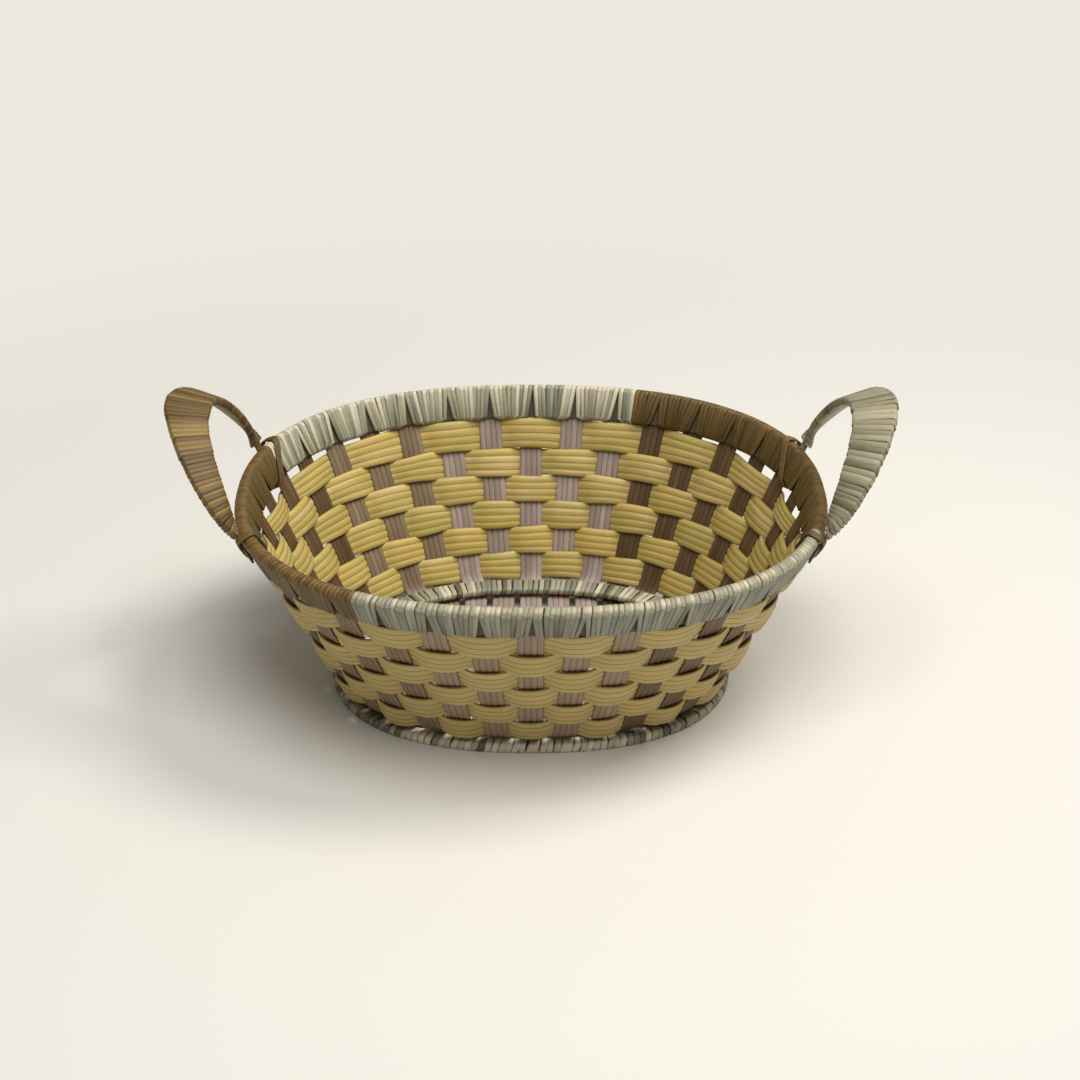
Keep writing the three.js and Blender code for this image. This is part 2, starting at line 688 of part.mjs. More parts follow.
const handles = [
  ['right', 1, GREY_CORD],
  ['left', -1, BROWN_CORD],
];
for (const [name, side, color] of handles) {
  const frames = handleFrames(side);
  add(`${name}_handle_core`, handleCore(frames), CORE, STRIP_ROUGHNESS);
  addWinding(`${name}_handle_winding`, handleWinding(frames), SQUARE_LOOP_SECTION_COUNT, color);
  const middle = side > 0 ? 0 : STAKES / 2;
  add(`${name}_handle_tie_1`, handleTie(middle - FOOT_STAKE_COUNT, -1), color, WOUND_ROUGHNESS);
  add(`${name}_handle_tie_2`, handleTie(middle + FOOT_STAKE_COUNT, 1), color, WOUND_ROUGHNESS);
}

export default basket;
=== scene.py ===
# %% [markdown]
# # An oval basket of plastic wicker
# The basket is woven from extruded plastic strips and wound with plastic cord. This lesson dresses
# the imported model: every strip, woven row and winding is made again as the bundle of strands that
# it is on the real thing, in the same frame and at the same sizes as the solids.

# %% Load the frame
import math

import bpy
import numpy as np
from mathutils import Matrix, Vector


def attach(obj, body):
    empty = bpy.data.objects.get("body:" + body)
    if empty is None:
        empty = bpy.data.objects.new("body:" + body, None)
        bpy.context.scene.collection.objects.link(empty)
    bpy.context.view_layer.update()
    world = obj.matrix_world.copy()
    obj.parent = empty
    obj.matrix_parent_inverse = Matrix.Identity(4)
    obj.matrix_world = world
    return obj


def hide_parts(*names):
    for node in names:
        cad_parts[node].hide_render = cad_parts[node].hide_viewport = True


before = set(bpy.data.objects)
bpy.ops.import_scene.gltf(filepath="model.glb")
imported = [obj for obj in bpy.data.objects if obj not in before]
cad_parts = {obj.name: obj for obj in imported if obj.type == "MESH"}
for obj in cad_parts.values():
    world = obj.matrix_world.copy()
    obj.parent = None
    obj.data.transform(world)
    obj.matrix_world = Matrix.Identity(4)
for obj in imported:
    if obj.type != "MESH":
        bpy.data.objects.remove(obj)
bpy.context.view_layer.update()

# %% [markdown]
# ## The sizes
# The solids come from a few named sizes, and the lesson needs the same ones to lay its strands
# where the solids are. They are in millimetres, and a mesh is scaled to metres when it is made.

# %% Sizes of the basket
MM = 0.001
RIM_LENGTH, RIM_WIDTH, RIM_HEIGHT = 300, 258, 108.5
RIM_BAND = 20
RIM_FLARE = math.radians(25)
BASE_LENGTH, BASE_WIDTH = 209, 167
OVAL_POWER = 2.34
LONG_STRIPS, CROSS_STRIPS, ROWS = 7, 11, 6
STRIP_THICKNESS = 1.2
STRIP_GAP = 2.2
HOLE_GAP = 1.5
CORNER = 3
HOOP_THICKNESS = 1
CORD = 1.2
SEAT, WRAP_SEAT = 0.3, 0.5
RING_CORE_HEIGHT, RING_CORE_WIDTH = 2, 5
FOOT_CUT = 0.5
WALL_SETBACK = 3.3
FLOOR_RING_HEIGHT, FLOOR_RING_WIDTH, FLOOR_RING_CORD = 1.2, 5, 1
FLOOR_RING_INSET = 4

STAKES = 2 * (LONG_STRIPS + CROSS_STRIPS)
QUARTER = STAKES // 4
hoop_half = RIM_BAND / 2 - CORD - WRAP_SEAT
wrap_outside = STRIP_THICKNESS / 2 + SEAT + HOOP_THICKNESS + WRAP_SEAT + CORD
wrap_high = RIM_BAND / 2
rim_inset = wrap_outside * math.cos(RIM_FLARE) + wrap_high * math.sin(RIM_FLARE)
rim_half = RIM_LENGTH / 2 - rim_inset, RIM_WIDTH / 2 - rim_inset
rim_middle = RIM_HEIGHT - wrap_high * math.cos(RIM_FLARE) - wrap_outside * math.sin(RIM_FLARE)
floor_low = RING_CORE_HEIGHT + 2 * (WRAP_SEAT + CORD) - FOOT_CUT + SEAT + STRIP_THICKNESS / 2
floor_high = floor_low + STRIP_THICKNESS + SEAT
wall_foot = floor_low + CORNER
foot_half = BASE_LENGTH / 2 - WALL_SETBACK, BASE_WIDTH / 2 - WALL_SETBACK
floor_half = foot_half[0] - CORNER, foot_half[1] - CORNER
top_row = rim_middle - (wrap_high + HOLE_GAP) * math.cos(RIM_FLARE)
stake_top = rim_middle + hoop_half * math.cos(RIM_FLARE)
print(f"{STAKES} stakes, rim middle at {rim_middle:.1f} mm, floor at {floor_low:.1f} mm")

# %% [markdown]
# ## The oval wall
# Every ring of the basket is the same squarish oval at a different size. The wall flares from the
# foot to the rim, bowed just enough to meet both, and a place on it is counted in stakes, evenly
# spaced along the rim. Curves drawn by hand in the viewport would do, but a formula keeps all the
# strands on one surface.

# %% The oval wall
OVAL_STEPS = 3600
NUDGE = 0.02  # part of a stake, or of a millimetre, to read a direction


def oval(half_length, half_width, angle):
    c, s = np.cos(angle), np.sin(angle)
    x = half_length * np.sign(c) * np.abs(c) ** (2 / OVAL_POWER)
    y = half_width * np.sign(s) * np.abs(s) ** (2 / OVAL_POWER)
    return np.stack([x, y], axis=-1)


rim_angles = np.linspace(0, 2 * np.pi, OVAL_STEPS + 1)
rim_steps = np.linalg.norm(np.diff(oval(*rim_half, rim_angles), axis=0), axis=1)
rim_lengths = np.concatenate([[0], np.cumsum(rim_steps)])
stake_pitch = rim_lengths[-1] / STAKES


def stake_angle(place):
    return np.interp(np.mod(place, STAKES) * stake_pitch, rim_lengths, rim_angles)


def wall_size(side, z):
    drop = rim_middle - z
    height = rim_middle - wall_foot
    flare = math.tan(RIM_FLARE)
    bow = (rim_half[side] - foot_half[side] - flare * height) / height ** 2
    return rim_half[side] - flare * drop - np.where(drop > 0, bow * drop ** 2, 0)


def wall_point(place, z):
    place, z = np.broadcast_arrays(np.asarray(place, float), np.asarray(z, float))
    flat = oval(wall_size(0, z), wall_size(1, z), stake_angle(place))
    return np.concatenate([flat, z[..., None]], axis=-1)


def unit(v):
    return v / np.maximum(np.linalg.norm(v, axis=-1, keepdims=True), 1e-9)


def wall_frame(place, z):
    """Points on the wall, with the directions out of it and up it."""
    beside = wall_point(place + NUDGE, z) - wall_point(place - NUDGE, z)
    up = unit(wall_point(place, z + NUDGE) - wall_point(place, z - NUDGE))
    return wall_point(place, z), unit(np.cross(beside, up)), up


def rim_frame(place):
    return wall_frame(place, np.full(np.shape(place), rim_middle))


print(f"stakes stand {stake_pitch:.1f} mm apart at the rim")

# %% [markdown]
# ## A sweep for bundles of strands
# Strips and cords are all one idea: a section carried along a path. Curves with a bevel object can
# do that, and so can the Screw modifier for simple rings. Here one Geometry Nodes tree does it for
# every piece, because it can shape the section from named sizes and write down, for the materials,
# where each point lies across and along its bundle and which face it is on.

# %% Colours, and a function that adds a node
MATH = "ShaderNodeMath"


def linear(code):
    values = [int(code[i:i + 2], 16) / 255 for i in (1, 3, 5)]
    return [v / 12.92 if v <= 0.04045 else ((v + 0.055) / 1.055) ** 2.4 for v in values] + [1.0]


def add_node(tree, kind, links=None, stops=(), **settings):
    """Add a node. A link is given a value, a socket, or a node, whose first output is meant."""
    node = tree.nodes.new(kind)
    for name, value in settings.items():
        setattr(node, name, value)
    for i, code in enumerate(stops):
        if i >= len(node.color_ramp.elements):
            node.color_ramp.elements.new(1.0)
        node.color_ramp.elements[i].position = i / (len(stops) - 1)
        node.color_ramp.elements[i].color = linear(code)
    for name, value in (links or {}).items():
        if isinstance(value, bpy.types.Node):
            value = value.outputs[0]
        if isinstance(value, bpy.types.NodeSocket):
            tree.links.new(value, node.inputs[name])
        else:
            node.inputs[name].default_value = value
    return node


print("middle grey in linear light:", round(linear("#808080")[0], 3))

# %% [markdown]
# The section starts as a circle of points. Its angle gives the place across the width, a power of
# the sine gives a flat back and belly with round edges, and a folded sine wave presses grooves
# between the strands. Curve to Mesh carries it along the path, whose own points hold the outward
# direction. Last, a point below the table is lifted on to it.

# %% The section in the sweep tree
def add_section(tree, given):
    circle = add_node(tree, "GeometryNodeCurvePrimitiveCircle", {"Resolution": given["Section points"]})
    factor = add_node(tree, "GeometryNodeSplineParameter").outputs["Factor"]
    turn = add_node(tree, MATH, {0: factor, 1: math.tau}, operation="MULTIPLY")
    sine = add_node(tree, MATH, {0: turn}, operation="SINE")
    cosine = add_node(tree, MATH, {0: turn}, operation="COSINE")
    across = add_node(tree, MATH, {0: cosine, 1: -0.5}, operation="MULTIPLY")
    bulge = add_node(tree, MATH, {0: sine}, operation="ABSOLUTE")
    belly = add_node(tree, MATH, {0: bulge, 1: given["Roundness"]}, operation="POWER")
    from_edge = add_node(tree, MATH, {0: across, 1: 0.5}, operation="ADD")
    place = add_node(tree, MATH, {0: from_edge, 1: given["Strands"]}, operation="MULTIPLY")
    fold = add_node(tree, MATH, {0: place, 1: math.pi}, operation="MULTIPLY")
    wave = add_node(tree, MATH, {0: fold}, operation="SINE")
    ridge = add_node(tree, MATH, {0: wave}, operation="ABSOLUTE")
    valley = add_node(tree, MATH, {0: 1.0, 1: ridge}, operation="SUBTRACT")
    cut = add_node(tree, MATH, {0: valley, 1: given["Groove"]}, operation="MULTIPLY")
    left = add_node(tree, MATH, {0: 1.0, 1: cut}, operation="SUBTRACT")
    high = add_node(tree, MATH, {0: belly, 1: left}, operation="MULTIPLY")
    half = add_node(tree, MATH, {0: given["Thickness"], 1: 0.5}, operation="MULTIPLY")
    away = add_node(tree, MATH, {0: sine}, operation="SIGN")
    reach = add_node(tree, MATH, {0: half, 1: away}, operation="MULTIPLY")
    spot = add_node(tree, "ShaderNodeCombineXYZ", {
        "X": add_node(tree, MATH, {0: high, 1: reach}, operation="MULTIPLY"),
        "Y": add_node(tree, MATH, {0: across, 1: given["Width"]}, operation="MULTIPLY"),
    })
    marked = circle
    for name, value in (("across", across), ("face", away)):
        marked = add_node(tree, "GeometryNodeStoreNamedAttribute", {
            "Geometry": marked, "Name": name, "Value": value,
        }, data_type="FLOAT", domain="POINT")
    return add_node(tree, "GeometryNodeSetPosition", {"Geometry": marked, "Position": spot})


# %% The sweep tree
NAMED = "GeometryNodeInputNamedAttribute"


def make_sweep_tree():
    tree = bpy.data.node_groups.new("strand_sweep", "GeometryNodeTree")
    sockets = [("Path", "Geometry"), ("Width", "Float"), ("Thickness", "Float"), ("Strands", "Int"),
               ("Groove", "Float"), ("Roundness", "Float"), ("Section points", "Int"),
               ("Table", "Float"), ("Material", "Material")]
    for name, kind in sockets:
        tree.interface.new_socket(name, in_out="INPUT", socket_type=f"NodeSocket{kind}")
    tree.interface.new_socket("Bundle", in_out="OUTPUT", socket_type="NodeSocketGeometry")
    given = add_node(tree, "NodeGroupInput").outputs

    out, side = [add_node(tree, NAMED, {"Name": mark}, data_type="FLOAT_VECTOR")
                 for mark in ("out", "side")]
    across, extra, scale = [add_node(tree, NAMED, {"Name": mark}, data_type="FLOAT")
                            for mark in ("across", "extra", "scale")]
    curve = add_node(tree, "GeometryNodeMeshToCurve", {"Mesh": given["Path"]})
    faced = add_node(tree, "GeometryNodeSetCurveNormal", {"Curve": curve, "Normal": out}, mode="FREE")
    swept = add_node(tree, "GeometryNodeCurveToMesh", {
        "Curve": faced, "Profile Curve": add_section(tree, given), "Scale": scale, "Fill Caps": True,
    })
    stretch = add_node(tree, MATH, {0: across, 1: extra}, operation="MULTIPLY")
    wider = add_node(tree, "ShaderNodeVectorMath", {0: side, "Scale": stretch}, operation="SCALE")
    widened = add_node(tree, "GeometryNodeSetPosition", {"Geometry": swept, "Offset": wider})
    here = add_node(tree, "ShaderNodeSeparateXYZ", {
        "Vector": add_node(tree, "GeometryNodeInputPosition"),
    }).outputs
    lifted = add_node(tree, "ShaderNodeCombineXYZ", {
        "X": here["X"], "Y": here["Y"],
        "Z": add_node(tree, MATH, {0: here["Z"], 1: given["Table"]}, operation="MAXIMUM"),
    })
    stood = add_node(tree, "GeometryNodeSetPosition", {"Geometry": widened, "Position": lifted})
    smooth = add_node(tree, "GeometryNodeSetShadeSmooth", {"Geometry": stood})
    real = add_node(tree, "GeometryNodeRealizeInstances", {"Geometry": smooth})
    painted = add_node(tree, "GeometryNodeSetMaterial", {
        "Geometry": real, "Material": given["Material"],
    })
    add_node(tree, "NodeGroupOutput", {"Bundle": painted})
    return tree


sweep_tree = make_sweep_tree()
sweep_inputs = {
    item.name: item.identifier
    for item in sweep_tree.interface.items_tree
    if item.in_out == "INPUT"
}
print("sweep inputs:", ", ".join(sweep_inputs))

# %% [markdown]
# A path is a plain mesh of points and edges. Each point carries what the tree needs: the direction
# that the bundle's back faces, the direction across it, a scale for places where strands are
# squeezed and an extra width where they spread. For the materials it carries its tone and its
# distance along the path.

# %% A path with its marks
def make_path(name, points, hints, closed, **marks):
    count = len(points)
    edges = [(i, i + 1) for i in range(count - 1)]
    ways = unit(np.gradient(points, axis=0))
    if closed:
        edges.append((count - 1, 0))
        ways = unit(np.roll(points, -1, axis=0) - np.roll(points, 1, axis=0))
    outs = unit(hints - ways * np.sum(hints * ways, axis=1, keepdims=True))
    steps = np.linalg.norm(np.diff(points, axis=0), axis=1)
    marks["along"] = np.concatenate([[0], np.cumsum(steps)]) * MM
    mesh = bpy.data.meshes.new(name)
    mesh.from_pydata((points * MM).tolist(), edges, [])
    for key, value in marks.items():
        layer = mesh.attributes.new(key, "FLOAT", "POINT")
        layer.data.foreach_set("value", np.array(np.broadcast_to(value, count), dtype=np.float32))
    for key, value in (("out", outs), ("side", np.cross(ways, outs))):
        layer = mesh.attributes.new(key, "FLOAT_VECTOR", "POINT")
        layer.data.foreach_set("vector", np.array(value, dtype=np.float32).ravel())
    return mesh


# %% [markdown]
# The tree is put on the path as a modifier, and its result is turned into a plain mesh. Then the
# modifier goes, and the piece takes the place of its solid in the frame.

# %% Carry a bundle along a path
NO_TABLE = -1.0
PIECES = []


def sweep(name, points, hints, nodes, slot, material, width, thickness, strands=1, groove=0.0,
          roundness=1.0, section=8, closed=False, scale=1.0, extra=0.0, tone=0.0, table=NO_TABLE):
    mesh = make_path(name, points, hints, closed, scale=scale, extra=np.multiply(extra, MM), tone=tone)
    piece = bpy.data.objects.new(name, mesh)
    bpy.context.collection.objects.link(piece)
    modifier = piece.modifiers.new("sweep", "NODES")
    modifier.node_group = sweep_tree
    sizes = {
        "Width": width * MM, "Thickness": thickness * MM, "Strands": strands, "Groove": groove,
        "Roundness": roundness, "Section points": section, "Table": table, "Material": material,
    }
    for key, value in sizes.items():
        modifier[sweep_inputs[key]] = value
    graph = bpy.context.evaluated_depsgraph_get()
    made = bpy.data.meshes.new_from_object(piece.evaluated_get(graph), depsgraph=graph)
    piece.modifiers.remove(modifier)
    piece.data = made
    bpy.data.meshes.remove(mesh)
    for key in ("out", "side", "scale", "extra"):
        if key in made.attributes:
            made.attributes.remove(made.attributes[key])
    made.name = name
    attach(piece, "root")
    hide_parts(*nodes)
    PIECES.append(piece)


# %% [markdown]
# ## Extruded strip
# The strips and woven rows are extruded polyethylene, drawn flat as a bundle of joined strands, in
# several dye lots. That gives the eye long fine lines, a satin sheen along them, strands that differ
# a little in colour, painted shade in the grooves between them, and an outer face painted browner and
# darker as painted shade. The pattern follows the strip, so it reads the marks that the sweep wrote,
# not a place in space.

# %% What all the plastics share
PLASTIC_IOR = 1.5  # polyethylene
LEAST_ROUGHNESS, ADDED_ROUGHNESS = 0.38, 0.25  # the fine lines add the second at most
LINE_DEPTH, LINE_STRENGTH = 0.2 * MM, 0.6  # deeper than real extrusion lines, so that they show
FINE_NOISE = {"Scale": 1.0, "Detail": 3.0, "Roughness": 0.6}


def new_material(name, *marks):
    """An empty material, and the marks on the mesh that it reads."""
    material = bpy.data.materials.new(name)
    material.use_nodes = True
    tree = material.node_tree
    tree.nodes.clear()
    read = [add_node(tree, "ShaderNodeAttribute", attribute_name=mark).outputs["Fac"] for mark in marks]
    return material, tree, *read


def finish_plastic(tree, colour, lines, least=LEAST_ROUGHNESS, added=ADDED_ROUGHNESS):
    bump = add_node(tree, "ShaderNodeBump", {
        "Height": lines, "Strength": LINE_STRENGTH, "Distance": LINE_DEPTH,
    })
    roughness = add_node(tree, MATH, {0: lines, 1: added, 2: least}, operation="MULTIPLY_ADD")
    shader = add_node(tree, "ShaderNodeBsdfPrincipled", {
        "Base Color": colour, "Roughness": roughness, "IOR": PLASTIC_IOR, "Normal": bump,
    })
    add_node(tree, "ShaderNodeOutputMaterial", {"Surface": shader})


# %% The dye of a strip
STRIP_STRANDS = 4
STREAK_LENGTH = 30 * MM  # of a dye streak
PATCH_LENGTH = 40 * MM  # over which one strip drifts from dye lot to dye lot
STREAKS_PER_STRAND = 5.0  # fewer and coarser than real extrusion lines, so that they show
PATCHES_PER_STRAND = 0.4
DYE_SHARE, STREAK_SHARE, PATCH_SHARE = 0.35, 0.45, 0.75  # of the way from darkest to lightest
DYE_START = -0.25
TONE_SPREAD = 91.0  # sets the patterns of two strips far apart


def strip_dye(tree, codes, place, strand, along, tone):
    """The colour of each strand, and the streaks in it."""
    seed = add_node(tree, MATH, {0: tone, 1: TONE_SPREAD}, operation="MULTIPLY")
    dye = add_node(tree, "ShaderNodeTexWhiteNoise", {
        "Vector": add_node(tree, "ShaderNodeCombineXYZ", {"X": strand, "Y": seed}),
    }, noise_dimensions="2D")
    streak = add_node(tree, "ShaderNodeTexNoise", {
        "Vector": add_node(tree, "ShaderNodeCombineXYZ", {
            "X": add_node(tree, MATH, {0: along, 1: STREAK_LENGTH}, operation="DIVIDE"),
            "Y": add_node(tree, MATH, {0: place, 1: STREAKS_PER_STRAND}, operation="MULTIPLY"),
            "Z": seed,
        }), **FINE_NOISE,
    })
    patch = add_node(tree, "ShaderNodeTexNoise", {
        "Vector": add_node(tree, "ShaderNodeCombineXYZ", {
            "X": add_node(tree, MATH, {0: along, 1: PATCH_LENGTH}, operation="DIVIDE"),
            "Y": add_node(tree, MATH, {0: strand, 1: PATCHES_PER_STRAND}, operation="MULTIPLY"),
            "Z": seed,
        }), "Scale": 1.0, "Detail": 1.0,
    })
    mixed = add_node(tree, MATH, {0: dye, 1: DYE_SHARE, 2: DYE_START}, operation="MULTIPLY_ADD")
    mixed = add_node(tree, MATH, {0: streak, 1: STREAK_SHARE, 2: mixed}, operation="MULTIPLY_ADD")
    mixed = add_node(tree, MATH, {0: patch, 1: PATCH_SHARE, 2: mixed}, operation="MULTIPLY_ADD")
    return add_node(tree, "ShaderNodeValToRGB", {"Fac": mixed}, stops=codes), streak


# %% The strip material
OUTER_SHADE = 0.6  # share of the outer face's colour that is painted shade
GROOVE_SHADE = 0.6
GROOVE_REACH = 0.16  # of a strand, to each side of a groove


def strip_plastic(name, codes, outer_shade_colour):
    """Extruded strip: codes run from its darkest strand to its lightest, and its outer face takes
    painted shade.
    """
    material, tree, across, along, tone, face = new_material(name, "across", "along", "tone", "face")
    place = add_node(tree, MATH, {
        0: across, 1: STRIP_STRANDS, 2: STRIP_STRANDS / 2,
    }, operation="MULTIPLY_ADD")
    strand = add_node(tree, MATH, {0: place}, operation="FLOOR")
    colour, streak = strip_dye(tree, codes, place, strand, along, tone)
    # Painted shade: the outer face is mixed towards a browner, darker colour.
    outer_side = add_node(tree, "ShaderNodeMapRange", {
        "Value": face, "From Min": -1.0, "From Max": 1.0, "To Min": 0.0, "To Max": OUTER_SHADE,
    })
    shaded_outside = add_node(tree, "ShaderNodeMix", {
        "Factor": outer_side, "A": colour, "B": linear(outer_shade_colour),
    }, data_type="RGBA").outputs["Result"]
    # Painted shade: each strand darkens towards the grooves on either side.
    from_groove = add_node(tree, MATH, {0: place, 1: 0.5}, operation="PINGPONG")
    groove = add_node(tree, "ShaderNodeMapRange", {
        "Value": from_groove, "From Max": GROOVE_REACH, "To Min": GROOVE_SHADE, "To Max": 0.0,
    }, interpolation_type="SMOOTHSTEP")
    dark = add_node(tree, "ShaderNodeMix", {
        "Factor": groove.outputs["Result"], "A": shaded_outside, "B": linear(codes[0]),
    }, data_type="RGBA", blend_type="MULTIPLY").outputs["Result"]
    finish_plastic(tree, dark, streak)
    return material


# Each dye: its strands from darkest to lightest, and the colour of the painted shade on its outer face.
DYES = {
    "gold": (["#846f38", "#bfa460", "#cdb264", "#b7a85e", "#d9be7f", "#e3d291"], "#b09b63"),
    "mauve": (["#7a6458", "#a28c7f", "#9b8b82", "#b3a29b", "#c4b5aa"], "#8a7246"),
    "brown": (["#33240f", "#5c452a", "#6a5237", "#7f6644"], "#634d2f"),
    "umber": (["#4f3f2c", "#7d6852", "#8c7a62", "#a08d74"], "#80694a"),
}
strips = {}
for dye, colours in DYES.items():
    strips[dye] = strip_plastic(f"extruded_polyethylene_strip_{dye}", *colours)
print("strip materials:", ", ".join(strips))

# %% [markdown]
# ## Wound cord
# The windings are thinner cord of the same plastic, laid turn by turn, where each turn happened to
# come off a lighter or a darker spool. That gives the eye narrow stripes in a handful of colours,
# with painted shade between turns. Each turn's tone is one number on the path, and a ramp turns it
# into one of the spool colours.

# %% The cord material
CORD_MOTTLE = 4 * MM  # of the mottling along a cord
MOTTLES_ACROSS = 4.0
MOTTLE_SPREAD = 57.0  # sets the mottling of two turns far apart
LEAST_VALUE, ADDED_VALUE = 0.7, 0.6  # brightness, of which the mottling adds the second at most
CORD_GAP_SHADE = "#2b2418"
GAP_SHADE_START = 0.33  # of the width, from a cord's middle


def cord_plastic(name, codes, gap_shade):
    """Wound cord: codes are its spools, gap_shade is how dark the painted shade is where two turns meet.
    """
    material, tree, across, along, tone = new_material(name, "across", "along", "tone")
    spool = add_node(tree, "ShaderNodeValToRGB", {"Fac": tone}, stops=codes)
    mottle = add_node(tree, "ShaderNodeTexNoise", {
        "Vector": add_node(tree, "ShaderNodeCombineXYZ", {
            "X": add_node(tree, MATH, {0: along, 1: CORD_MOTTLE}, operation="DIVIDE"),
            "Y": add_node(tree, MATH, {0: across, 1: MOTTLES_ACROSS}, operation="MULTIPLY"),
            "Z": add_node(tree, MATH, {0: tone, 1: MOTTLE_SPREAD}, operation="MULTIPLY"),
        }), **FINE_NOISE,
    })
    value = add_node(tree, MATH, {0: mottle, 1: ADDED_VALUE, 2: LEAST_VALUE}, operation="MULTIPLY_ADD")
    lit = add_node(tree, "ShaderNodeHueSaturation", {"Color": spool, "Value": value})
    # Painted shade: each cord darkens towards its edges, where two turns meet.
    from_middle = add_node(tree, MATH, {0: across}, operation="ABSOLUTE")
    meeting = add_node(tree, "ShaderNodeMapRange", {
        "Value": from_middle, "From Min": GAP_SHADE_START, "From Max": 0.5, "To Max": gap_shade,
    }, interpolation_type="SMOOTHSTEP")
    dark = add_node(tree, "ShaderNodeMix", {
        "Factor": meeting.outputs["Result"], "A": lit, "B": linear(CORD_GAP_SHADE),
    }, data_type="RGBA").outputs["Result"]
    finish_plastic(tree, dark, mottle)
    return material


# Each dye: its spools, and how dark the painted shade is between turns.
SPOOLS = {
    "grey": (["#5f5948", "#8f8b75", "#7d8072", "#a5a68b", "#9a947f", "#b9b39b", "#d6ceb6"], 0.75),
    "brown": (["#4c3c1a", "#604e26", "#6d5829", "#594720", "#7a5c2b"], 0.5),
    # The first cream spool is dark, for dark turns and for the painted shade at the foot ring's ends.
    "cream": (["#5f5444", "#b0a68e", "#d2c8b0", "#ddd4bd", "#bdb39b", "#e8e1cd"], 0.4),
    "beige": (["#6b654a", "#9f9981", "#847d62", "#aea88b"], 0.65),
    "umber": (["#553f22", "#6e552e", "#614a25", "#7c6336", "#90783f"], 0.25),
}
cords = {}
for dye, spools in SPOOLS.items():
    cords[dye] = cord_plastic(f"extruded_polyethylene_cord_{dye}", *spools)
print("cord materials:", ", ".join(cords))

# %% [markdown]
# ## Strips
# A strip comes down one wall from the rim, bends under, crosses the floor over and under the strips
# that run the other way, and goes up the opposite wall. A path through points on the wall and on the
# floor is smoothed at the bends, as the springy plastic would take them. The tops are hidden
# between the rim hoops.

# %% The weave's wave and its rows
WAVE_FLAT = 1.2  # how long a strand lies flat before it dives
ROW_STEPS = 400  # to measure the way up the wall


def weave_wave(turns):
    """1 at even numbers and -1 at odd ones, with flat tops."""
    return np.tanh(WAVE_FLAT * np.cos(np.pi * turns)) / np.tanh(WAVE_FLAT)


def smoothed(points, rounds):
    for _ in range(rounds):
        middle = (points[:-2] + 2 * points[1:-1] + points[2:]) / 4
        points = np.concatenate([points[:1], middle, points[-1:]])
    return points


row_heights = np.linspace(wall_foot, top_row, ROW_STEPS)
row_rise = np.linalg.norm(np.diff(wall_point(0.0, row_heights), axis=0), axis=1)
row_lengths = np.concatenate([[0], np.cumsum(row_rise)])
row_edges = np.interp(np.linspace(0, row_lengths[-1], ROWS + 1), row_lengths, row_heights)
row_width = row_lengths[-1] / ROWS


def rows_from_top(z):
    """Rows counted down from the rim: 1 in the middle of the top row."""
    climbed = np.interp(z, row_heights, row_lengths)
    return (row_lengths[-1] - climbed) / row_width + 0.5


print(f"{ROWS} rows, {row_width:.1f} mm apart up the wall")

# %% Paths of the strips
STEP = 2.0  # between points of a path
BEND_ROUNDS = 3  # of averaging
STAKE_GIVE = 0.35  # a stake is pulled this far out of line by the woven rows


def stake_path(stake):
    """From the rim down to the bend, with the way out of the basket."""
    z = np.linspace(stake_top, wall_foot, int((stake_top - wall_foot) / STEP))
    place = np.full(len(z), float(stake))
    point, out, _ = wall_frame(place, z)
    pull = -STAKE_GIVE * weave_wave(stake + rows_from_top(z) - 1)
    woven = np.clip((top_row - z) / row_width, 0, 1) * np.clip((z - wall_foot) / row_width, 0, 1)
    return point + out * (pull * woven)[:, None], out


long_lanes = (LONG_STRIPS - 1) // 2
cross_lanes = (CROSS_STRIPS - 1) // 2
long_pitch = oval(*floor_half, stake_angle(long_lanes))[1] / long_lanes
cross_pitch = oval(*floor_half, stake_angle(QUARTER - cross_lanes))[0] / cross_lanes
strip_width = min(long_pitch, cross_pitch) - STRIP_GAP


def strip_path(stakes, way, beside, lane, reach, pitch, lanes, parity):
    """Down one wall, across the floor in a lane, and up the other wall."""
    first, first_out = stake_path(stakes[0])
    last, last_out = stake_path(stakes[1])
    distance = np.arange(reach, -reach - STEP / 2, -STEP)
    lift = (weave_wave(lanes - distance / pitch + parity) + 1) / 2
    inside = np.clip(((lanes + 0.5) * pitch - np.abs(distance)) / (0.5 * pitch), 0, 1)
    floor = np.outer(distance, way) + np.multiply(lane, beside)
    floor[:, 2] = floor_low + (floor_high - floor_low) * lift * inside
    down = np.tile([0.0, 0.0, -1.0], (len(floor), 1))
    points = smoothed(np.concatenate([first, floor, last[::-1]]), BEND_ROUNDS)
    return points, unit(smoothed(np.concatenate([first_out, down, last_out[::-1]]), BEND_ROUNDS))


def lane_reach(lane, half_beside, half_along):
    """Half the length of the floor in a lane."""
    return half_along * (1 - abs(lane / half_beside) ** OVAL_POWER) ** (1 / OVAL_POWER)


print(f"strips lie {long_pitch:.1f} and {cross_pitch:.1f} mm apart in the floor")

# %% Make the strips
STRIP_BELLY = 1.5
STRIP_GROOVE, STRIP_ROUNDNESS = 0.45, 0.45
BUNDLE_SECTION = 48  # points round a bundle of strands
MAUVE_LANES = 2  # to each side of the middle, with umber on the left and brown on the right
WEAVE_SEED = 11
rng = np.random.default_rng(WEAVE_SEED)


def make_strip(name, path, dye):
    sweep(f"{name}_strands", *path, [name], f"{dye}_strip", strips[dye], strip_width, STRIP_BELLY,
          STRIP_STRANDS, STRIP_GROOVE, STRIP_ROUNDNESS, BUNDLE_SECTION, tone=rng.random())


for i in range(-long_lanes, long_lanes + 1):
    lane = i * long_pitch
    reach = lane_reach(lane, floor_half[1], floor_half[0])
    path = strip_path((i, STAKES / 2 - i), (1, 0, 0), (0, 1, 0), lane, reach, cross_pitch,
                      cross_lanes, (i + long_lanes) % 2)
    make_strip(f"long_strip_{i + long_lanes + 1}", path, "brown")

